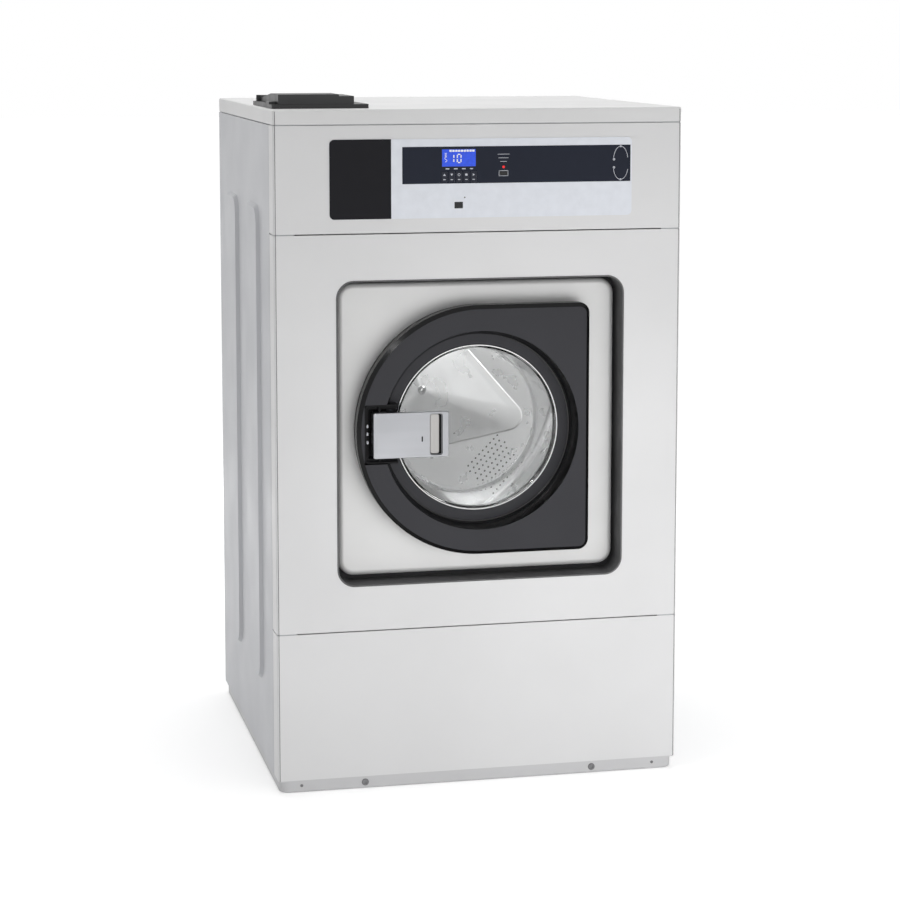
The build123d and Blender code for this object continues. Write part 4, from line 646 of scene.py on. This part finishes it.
def drum_star():
    """The low three-sided star pressed into the drum's back, its foot and head eased."""
    around, turn = 360, math.radians(-19)
    foot, foot_corner, head, head_corner = 0.112, 0.025, 0.012, 0.006
    proud, sheet, summit = 0.0004, 0.0003, 1.05
    base_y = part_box("drum_back")[1].y - DRUM_WALL - proud
    height = base_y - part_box("drum_back")[0].y
    # Each row: the share of the way from foot to head, how far it flares, and its height.
    rows = [(0.0, 1.055, 0.0), (0.0, 1.028, 0.006), (0.0, 1.010, 0.025)]
    rows += [(share, 1, share) for share in np.linspace(0.06, 0.94, 16)]
    rows += [(1.0, 0.97, 0.985), (1.0, 0.8, 1.02), (1.0, 0.55, 1.04), (1.0, 0.25, summit)]
    verts = []
    for step in range(around):
        angle = 2 * math.pi * step / around
        for share, flare, rise in rows:
            apothem = foot + (head - foot) * share
            corner = foot_corner + (head_corner - foot_corner) * share
            radius = flare * triangle_reach(angle - turn, apothem, corner)
            x, z = radius * math.cos(angle), AXIS_Z + radius * math.sin(angle)
            verts.append((x, base_y - height * rise, z))
    faces = grid(around, len(rows), columns_close=False)
    star = piece("drum_star", verts, faces, "drum", "drum", "stainless", smooth=180)
    thick = star.modifiers.new("thickness", "SOLIDIFY")
    thick.thickness = sheet
    thick.offset = 0
    cap = [(0.0001, -0.0030), (0.003, -0.0028), (0.0055, -0.0020), (0.0070, -0.0006),
           (0.0085, 0.0006), (0.0085, 0.0016), (0.0001, 0.0016)]
    piece("drum_hub_cap", *turned(cap, y0=base_y - summit * height, steps=48), "drum", "bright",
          "stainless", smooth=40)
    bead = [(0.2515, 0.0), (0.2530, -0.0026), (0.2555, -0.0040), (0.2585, -0.0034), (0.2610, -0.0008),
            (0.2622, 0.0), (0.2622, 0.0006), (0.2515, 0.0006)]
    piece("drum_back_bead", *turned(bead, y0=base_y + proud, steps=160), "drum", "drum",
          "stainless", smooth=60)


def painted_hole_shade():
    """Dark sheets close behind the patches of drain holes in the drum's back: painted shade for what is seen
    through the holes.
    """
    half_wide, near, far, corner, gap, sheet = 0.048, 0.168, 0.252, 0.006, 0.0004, 0.0006
    y0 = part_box("drum_back")[1].y + gap
    verts, faces = extruded(rounded(near, far, -half_wide, half_wide, corner), y0, y0 + sheet)
    shades = []
    for turn in (-45, 75, 195):
        cos, sin = math.cos(math.radians(turn)), math.sin(math.radians(turn))
        shades.append(([(x * cos - z * sin, y, AXIS_Z + x * sin + z * cos) for x, y, z in verts], faces))
    # These sheets paint shade behind the holes, where the tub's bright wall would show.
    piece("drum_holes_painted_shade", *joined(shades), "drum", "hole", "stainless")


def gaiter_fold():
    """The gaiter's inner fold, behind the edge of the sunk plate."""
    low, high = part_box("opening_gaiter")
    wall, reach, y0, y1 = 0.0025, 0.027, high.y - 0.0012, high.y + 0.0008
    outline, inner = (
        rounded(low.x + inset, high.x - inset, low.z + inset, high.z - inset, corner, 8)
        for inset, corner in ((wall, 0.0275), (reach, 0.012))
    )
    rings = [(outline, y0), (outline, y1), (inner, y1), (inner, y0)]
    verts = [(x, y, z) for ring, y in rings for x, z in ring]
    faces = grid(len(rings), len(outline))
    piece("gaiter_fold", verts, faces, "cabinet", "rubber", "black_rubber", smooth=30)


def corner_painted_shade():
    """A dark strip down each front corner, where the front's sheets meet the side's: painted shade of the
    rounded corner.
    """
    aside, below, width, proud = 0.0033, 0.003, 0.0009, 0.00008
    bottom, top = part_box("left_side_panel")[0].z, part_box("top_lid")[1].z - below
    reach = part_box("top_lid")[1].x - aside
    shade_strips = [bar(x, (bottom + top) / 2, width, top - bottom, FRONT - proud, FRONT + proud)
             for x in (-reach, reach)]
    piece("corner_painted_shade", *joined(shade_strips), "cabinet", "seam", "dark_steel")


perforated_wall()
drum_front_ring()
drum_star()
painted_hole_shade()
gaiter_fold()
corner_painted_shade()


# Door.
def bowl():
    """The glass bowl, smooth and of even thickness, open to the front."""
    low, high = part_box("door_glass")
    rim, wall, bevel = (high.x - low.x) / 2, 0.006, 0.001
    front, back = low.y, high.y
    inner_end, outer_end, dome, middle = 0.1262, 0.1328, 0.0065, 0.0005
    inner = [(rim - wall, front), (rim - wall, front + 0.012),
             (inner_end, back - wall - dome), (middle, back - wall)]
    outer = [(rim, front), (rim, front + 0.014), (outer_end, back - dome), (middle, back)]
    profile = eased(inner, (0.012, 0.009), 10) + eased(outer, (0.014, 0.015), 10)[::-1]
    profile[0] = (rim - wall, front + bevel)
    profile.insert(0, (rim - wall + bevel, front))
    profile[-1] = (rim, front + bevel)
    profile.append((rim - bevel, front))
    glass = piece("glass_bowl", *turned(profile, steps=192), "door", "glass", "door_glass", smooth=40)
    glass.visible_shadow = False
    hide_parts("door_glass")


def door_trim():
    """The bright bead round the glass, the gasket behind the door's mouth and three rivets in the notch,
    matt white as a painted highlight.
    """
    bead = [(0.1372, 0.0006), (0.1382, -0.0010), (0.1398, -0.0012), (0.1409, -0.0002), (0.1410, 0.0022),
            (0.1372, 0.0022)]
    piece("glass_rim", *turned(bead, y0=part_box("door_glass")[0].y, steps=160), "door", "bright",
          "bright_steel", smooth=45)
    gasket = [(0.1585, -0.0002), (0.1600, -0.0016), (0.1607, -0.0016), (0.1612, 0.0), (0.1612, 0.0004),
              (0.1585, 0.0004)]
    piece("mouth_gasket", *turned(gasket, y0=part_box("door_ring")[0].y, steps=160), "door", "gloss_black",
          "charcoal_plastic", smooth=45)
    dome = [(0.0001, -0.0024), (0.0009, -0.0022), (0.0016, -0.0014), (0.0019, -0.0003), (0.0019, 0.0004),
            (0.0001, 0.0004)]
    rivet_x, floor_y, stretch = -0.1911, FRONT + 0.0031, 1.7
    verts, faces = turned(dome, steps=24, y0=floor_y)
    rivets = [([(rivet_x + x, y, middle + (z - AXIS_Z) * stretch) for x, y, z in verts], faces)
              for middle in (0.6155, 0.6025, 0.5885)]
    # The steel rivets are coloured matt white: a painted highlight.
    piece("notch_rivets", *joined(rivets), "door", "white", "bright_steel", smooth=60)


def handle():
    """The lever: a flat box with eased edges, a rolled left end and a rounded finger pocket."""
    low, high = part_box("door_handle")
    x0, x1, y0, z0, z1 = low.x, high.x, low.y, low.z, high.z
    thick, root, roll, edge, turns = 0.009, 0.026, 0.006, 0.002, 5
    lip_y, bed_y, sunk = y0 + 0.0006, y0 + 0.0046, 0.0005
    mesh = bmesh.new()

    def loop(points):
        made = [mesh.verts.new(p) for p in points]
        return made, [mesh.edges.new((a, b)) for a, b in zip(made, made[1:] + made[:1])]

    def skirt(one, two):
        for i in range(len(one)):
            j = (i + 1) % len(one)
            mesh.faces.new((one[i], one[j], two[j], two[i]))

    def section(left, inset, y):
        """The lever's outline at a depth."""
        outline = rounded(left, x1 - inset, z0 + inset, z1 - inset, 0.003 - inset * 0.5, 4)
        return [(x, y, z) for x, z in outline]

    def rolled(step):
        """The outline at one step round the eased front edge."""
        angle = math.pi / 2 * step / turns
        side = edge * (1 - math.sin(angle))
        return section(x0 + roll * (1 - math.sin(angle)), side, y0 + edge * (1 - math.cos(angle)))

    def pocket(inset, radius):
        """The finger pocket's outline, or one inside it."""
        return rounded(x1 - 0.0326 + inset, x1 - 0.0107 - inset, z0 + 0.003 + inset,
                       z1 - 0.003 - inset, radius, 6)

    face, face_edges = loop(rolled(0))
    rim, rim_edges = loop([(x, y0, z) for x, z in pocket(0, 0.0042)])
    bmesh.ops.triangle_fill(mesh, edges=face_edges + rim_edges, use_beauty=True)
    last = face
    for step in range(1, turns + 1):
        after, _ = loop(rolled(step))
        skirt(last, after)
        last = after
    back, _ = loop(section(x0, 0, y0 + thick))
    skirt(last, back)
    mesh.faces.new(back)
    lip, _ = loop([(x, lip_y, z) for x, z in pocket(0.0005, 0.0038)])
    skirt(rim, lip)
    bed, _ = loop([(x, bed_y, z) for x, z in pocket(0.001, 0.0034)])
    skirt(lip, bed)
    mesh.faces.new(bed)
    verts = [v.co.copy() for v in mesh.verts]
    mesh.verts.index_update()
    faces = [tuple(v.index for v in f.verts) for f in mesh.faces]
    mesh.free()
    foot = extruded(rounded(x0 + sunk, x0 + root, z0 + sunk, z1 - sunk, 0.0025), y0 + thick - 0.001, high.y)
    whole = joined([(verts, faces), foot])
    lever = piece("lever_handle", *whole, "handle", "handle", "handle_metal", smooth=35)
    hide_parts("door_handle")
    # Near-black sheet under the pocket's liner, seen along its right side and bottom: painted shade of the
    # pocket's inner wall.
    piece("handle_pocket_painted_shade", *extruded(pocket(0.0014, 0.003), bed_y - 0.0004, bed_y + 0.0006, 0.0002),
          "handle", "hole", "handle_metal")
    liner = rounded(x1 - 0.0314, x1 - 0.0163, z0 + 0.0058, z1 - 0.0042, 0.0034, 6)
    piece("handle_pocket", *extruded(liner, bed_y - 0.0016, bed_y - 0.0002, 0.0006),
          "handle", "pocket", "handle_metal")


def notch_frame():
    """Stepped frame of the recess that the handle's root stands in, open to the right."""
    left, right, bottom, top = -0.1974, -0.1405, AXIS_Z - 0.0502, AXIS_Z + 0.0487
    beyond, tolerance = 0.02, 1e-6
    face_y, deep_y = FRONT - 0.0035, FRONT + 0.019
    # Inset from the outer edge and depth of each ring, from outside to inside.
    steps = (
        (0.0, deep_y), (0.0, face_y + 0.0006), (0.0006, face_y), (0.0030, face_y),
        (0.0036, face_y + 0.0006), (0.0036, face_y + 0.006), (0.0042, face_y + 0.0066),
        (0.0078, face_y + 0.0066), (0.0082, face_y + 0.0072), (0.0082, deep_y),
    )
    verts = []
    for inset, y in steps:
        outline = rounded(left + inset, right + beyond, bottom + inset, top - inset, 0.006 - inset * 0.5, 6)
        verts += [(min(x, right), y, z) for x, z in outline]
    faces = [face for face in grid(len(steps), len(verts) // len(steps))
             if min(verts[face[0]][0], verts[face[3]][0]) < right - tolerance]
    piece("notch_frame", verts, faces, "door", "frame_black", "black_plastic", smooth=40)


def handle_details():
    """The slot in the lever's face, a flat black patch of painted shade, and the end of its hinge pin."""
    face_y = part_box("door_handle")[0].y
    slot = rounded(-0.1036, -0.1014, 0.5895, 0.5985, 0.0009, 4)
    # The slot's patch is painted shade, not a hollow.
    piece("handle_slot", *extruded(slot, face_y - 0.0001, face_y + 0.0005), "handle", "hole", "handle_metal")
    profile = [(0.0001, 0.0), (0.0026, 0.0), (0.0030, 0.0004), (0.0030, 0.0010), (0.0001, 0.0010)]
    pin_x, pin_y, sunk = -0.171, FRONT + 0.002, 0.0004
    pin_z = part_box("door_handle")[1].z - sunk
    verts, faces = turned(profile, centre=(0, 0), steps=20)
    upright = [(pin_x + x, pin_y + z, pin_z + y) for x, y, z in verts]
    piece("handle_pin_end", upright, faces, "handle", "bright", "handle_metal", smooth=40)


bowl()
door_trim()
notch_frame()
handle()
handle_details()


# Screws.
def screw_head(x, z, y, facing, radius, height):
    """A pan head with a hexagon socket, facing the front (-1) or the rear (1)."""
    shares = [(0.0001, -0.25), (0.42, -0.25), (0.44, -0.92), (0.62, -1.0), (0.84, -0.86), (0.97, -0.5),
              (1.0, -0.12), (1.0, 0.0), (0.0001, 0.0)]
    profile = [(across * radius, up * height) for across, up in shares]
    verts, faces = turned(profile, centre=(x, z), steps=36, hexed=(1, 2))
    return [(vx, y - facing * vy, vz) for vx, vy, vz in verts], faces


def screws():
    """The screws of the rail and of the rear cover, and the two small studs on the rail."""
    rail_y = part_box("panel_screws")[0].y
    rear_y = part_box("panel_screws")[1].y
    radius, height, rail_z = 0.006, 0.002, 0.011
    heads = [screw_head(x, rail_z, rail_y + height, -1, radius, height) for x in (-0.197, 0.197)]
    cover_z, reach = 0.560, 0.217
    for dx in (-1, 0, 1):
        for dz in (-1, 0, 1):
            if dx or dz:
                place = (dx * reach, cover_z + dz * reach, rear_y - height)
                heads.append(screw_head(*place, 1, radius, height))
    made = piece("screw_heads", *joined(heads), "cabinet", "screw", "bright_steel", smooth=35)
    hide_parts("panel_screws")
    stud_z, stud_y, stud_radius, stud_height = 0.012, FRONT + 0.0032, 0.0026, 0.0012
    studs = [screw_head(x, stud_z, stud_y, -1, stud_radius, stud_height) for x in (-0.305, 0.305)]
    piece("rail_studs", *joined(studs), "cabinet", "screw", "bright_steel", smooth=35)


screws()


# Stage, light and view.
# Strength of the world's light on the pieces; the view itself sees it white.
WORLD_LIGHT = 0.23
# Glow of the floor near and far, and the distances from the middle between which it changes.
FLOOR_GLOW = (0.42, 0.78)
FLOOR_REACH = (0.8, 3.0)
FLOOR_SIZE = 60


def seen(tree):
    """One for what is seen straight on, mirrored or through glass, and nought for scattered light."""
    path = tree.nodes.new("ShaderNodeLightPath")
    largest = path.outputs["Is Camera Ray"]
    for output in ("Is Glossy Ray", "Is Transmission Ray"):
        node = tree.nodes.new("ShaderNodeMath")
        node.operation = "MAXIMUM"
        tree.links.new(largest, node.inputs[0])
        tree.links.new(path.outputs[output], node.inputs[1])
        largest = node.outputs[0]
    return largest


def stage():
    """A white floor that glows more with distance, and a white world."""
    bpy.ops.mesh.primitive_plane_add(size=FLOOR_SIZE, location=(0, 0, 0))
    floor = bpy.context.object
    floor.name = "studio_floor"
    made = Shader("studio_floor", (0.93, 0.93, 0.93), 0.85)
    made.mottle(0.01, 0.8)
    glow = made.node("ShaderNodeMath", operation="MULTIPLY")
    made.link(seen(made.tree), glow.inputs[0])
    reach = made.node("ShaderNodeVectorMath", operation="LENGTH")
    made.link(made.place, reach.inputs[0])
    made.link(made.ramp(reach.outputs["Value"], *FLOOR_GLOW, *FLOOR_REACH), glow.inputs[1])
    made.set("Emission Color", (1, 1, 1, 1))
    made.link(glow.outputs[0], made.bsdf.inputs["Emission Strength"])
    floor.data.materials.append(made.mat)

    world = bpy.data.worlds.new("studio")
    bpy.context.scene.world = world
    world.use_nodes = True
    tree = world.node_tree
    back = tree.nodes["Background"]
    level = tree.nodes.new("ShaderNodeMapRange")
    level.inputs["To Min"].default_value = WORLD_LIGHT
    level.inputs["To Max"].default_value = 1.0
    tree.links.new(seen(tree), level.inputs["Value"])
    tree.links.new(level.outputs["Result"], back.inputs["Strength"])
    back.inputs["Color"].default_value = (1, 1, 1, 1)


def lamp(name, place, target, size, power, mirrored=False, cone=None, lit=None):
    """A soft rectangular lamp, or with a cone in degrees a spot.
    Only a mirrored one shows in polished surfaces. With a list of lit pieces it lights
    nothing else, and only they cast its shadows."""
    light = bpy.data.lights.new(name, "SPOT" if cone else "AREA")
    light.energy = power
    if cone:
        light.shadow_soft_size = size
        light.spot_size = math.radians(cone)
        light.spot_blend = 0.25
    else:
        light.shape = "RECTANGLE"
        light.size, light.size_y = size
    made = bpy.data.objects.new(name, light)
    bpy.context.scene.collection.objects.link(made)
    made.location = place
    made.visible_glossy = mirrored
    made.visible_transmission = False
    if lit:
        group = bpy.data.collections.new(name + "_lit")
        for lit_piece in lit:
            group.objects.link(bpy.data.objects[lit_piece])
        made.light_linking.receiver_collection = group
        made.light_linking.blocker_collection = group
    made.rotation_euler = (Vector(target) - Vector(place)).to_track_quat("-Z", "Y").to_euler()


# Name, place, target, size and power of each lamp that no polished surface mirrors.
LAMPS = (
    ("front", (0.7, -2.1, 0.75), (0.15, 0, 0.45), (2.2, 1.1), 4.5),
    ("low", (0.6, -1.7, 0.35), (0.15, 0, 0.3), (2.2, 0.6), 13),
    ("side", (-2.2, -0.4, 0.1), (0, 0, 0.0), (1.4, 0.3), 6.5),
    ("rear", (-0.4, 2.6, 1.1), (0, 0.3, 0.5), (2.4, 1.4), 26),
    ("top", (0.2, 0.2, 4.0), (0, 0.1, 0), (2.6, 2.6), 66),
)
DRUM_REAR = ("drum_star", "drum_hub_cap", "drum_back_bead", "drum_back")

stage()
for row in LAMPS:
    lamp(*row)
lamp("glint", (-1.5, -1.0, 2.25), (0.13, -0.33, 0.47), (0.5, 0.1), 5, mirrored=True)
lamp("drum", (-0.85, -3.5, 1.5), (0, -0.3, AXIS_Z), 0.25, 100, mirrored=True, cone=4.6)
lamp("drum_back", (0.93, -0.26, 1.71), (0, 0.13, AXIS_Z), (0.4, 0.4), 52, mirrored=True, lit=DRUM_REAR)

scene = bpy.context.scene
scene.view_settings.view_transform = "Standard"

# The photograph's view: its focal length and width in pixels, the place it was taken from,
# its turn to the right and upwards in radians, and the shift of its lens.
FOCAL_PIXELS, PHOTO_WIDTH, SENSOR_WIDTH = 2473.94, 900, 36
VIEW_PLACE = (-0.94626, FRONT - 3.95908, 1.27405)
YAW, PITCH = 0.22216, -0.12422
LENS_SHIFT = -0.13

camera = bpy.data.cameras.new("photo_view")
camera.sensor_width = SENSOR_WIDTH
camera.lens = FOCAL_PIXELS / PHOTO_WIDTH * SENSOR_WIDTH
camera.shift_y = LENS_SHIFT
camera_object = bpy.data.objects.new("photo_view", camera)
scene.collection.objects.link(camera_object)
camera_object.location = VIEW_PLACE
look = Vector((math.sin(YAW) * math.cos(PITCH), math.cos(YAW) * math.cos(PITCH), math.sin(PITCH)))
camera_object.rotation_euler = look.to_track_quat("-Z", "Y").to_euler()
scene.camera = camera_object
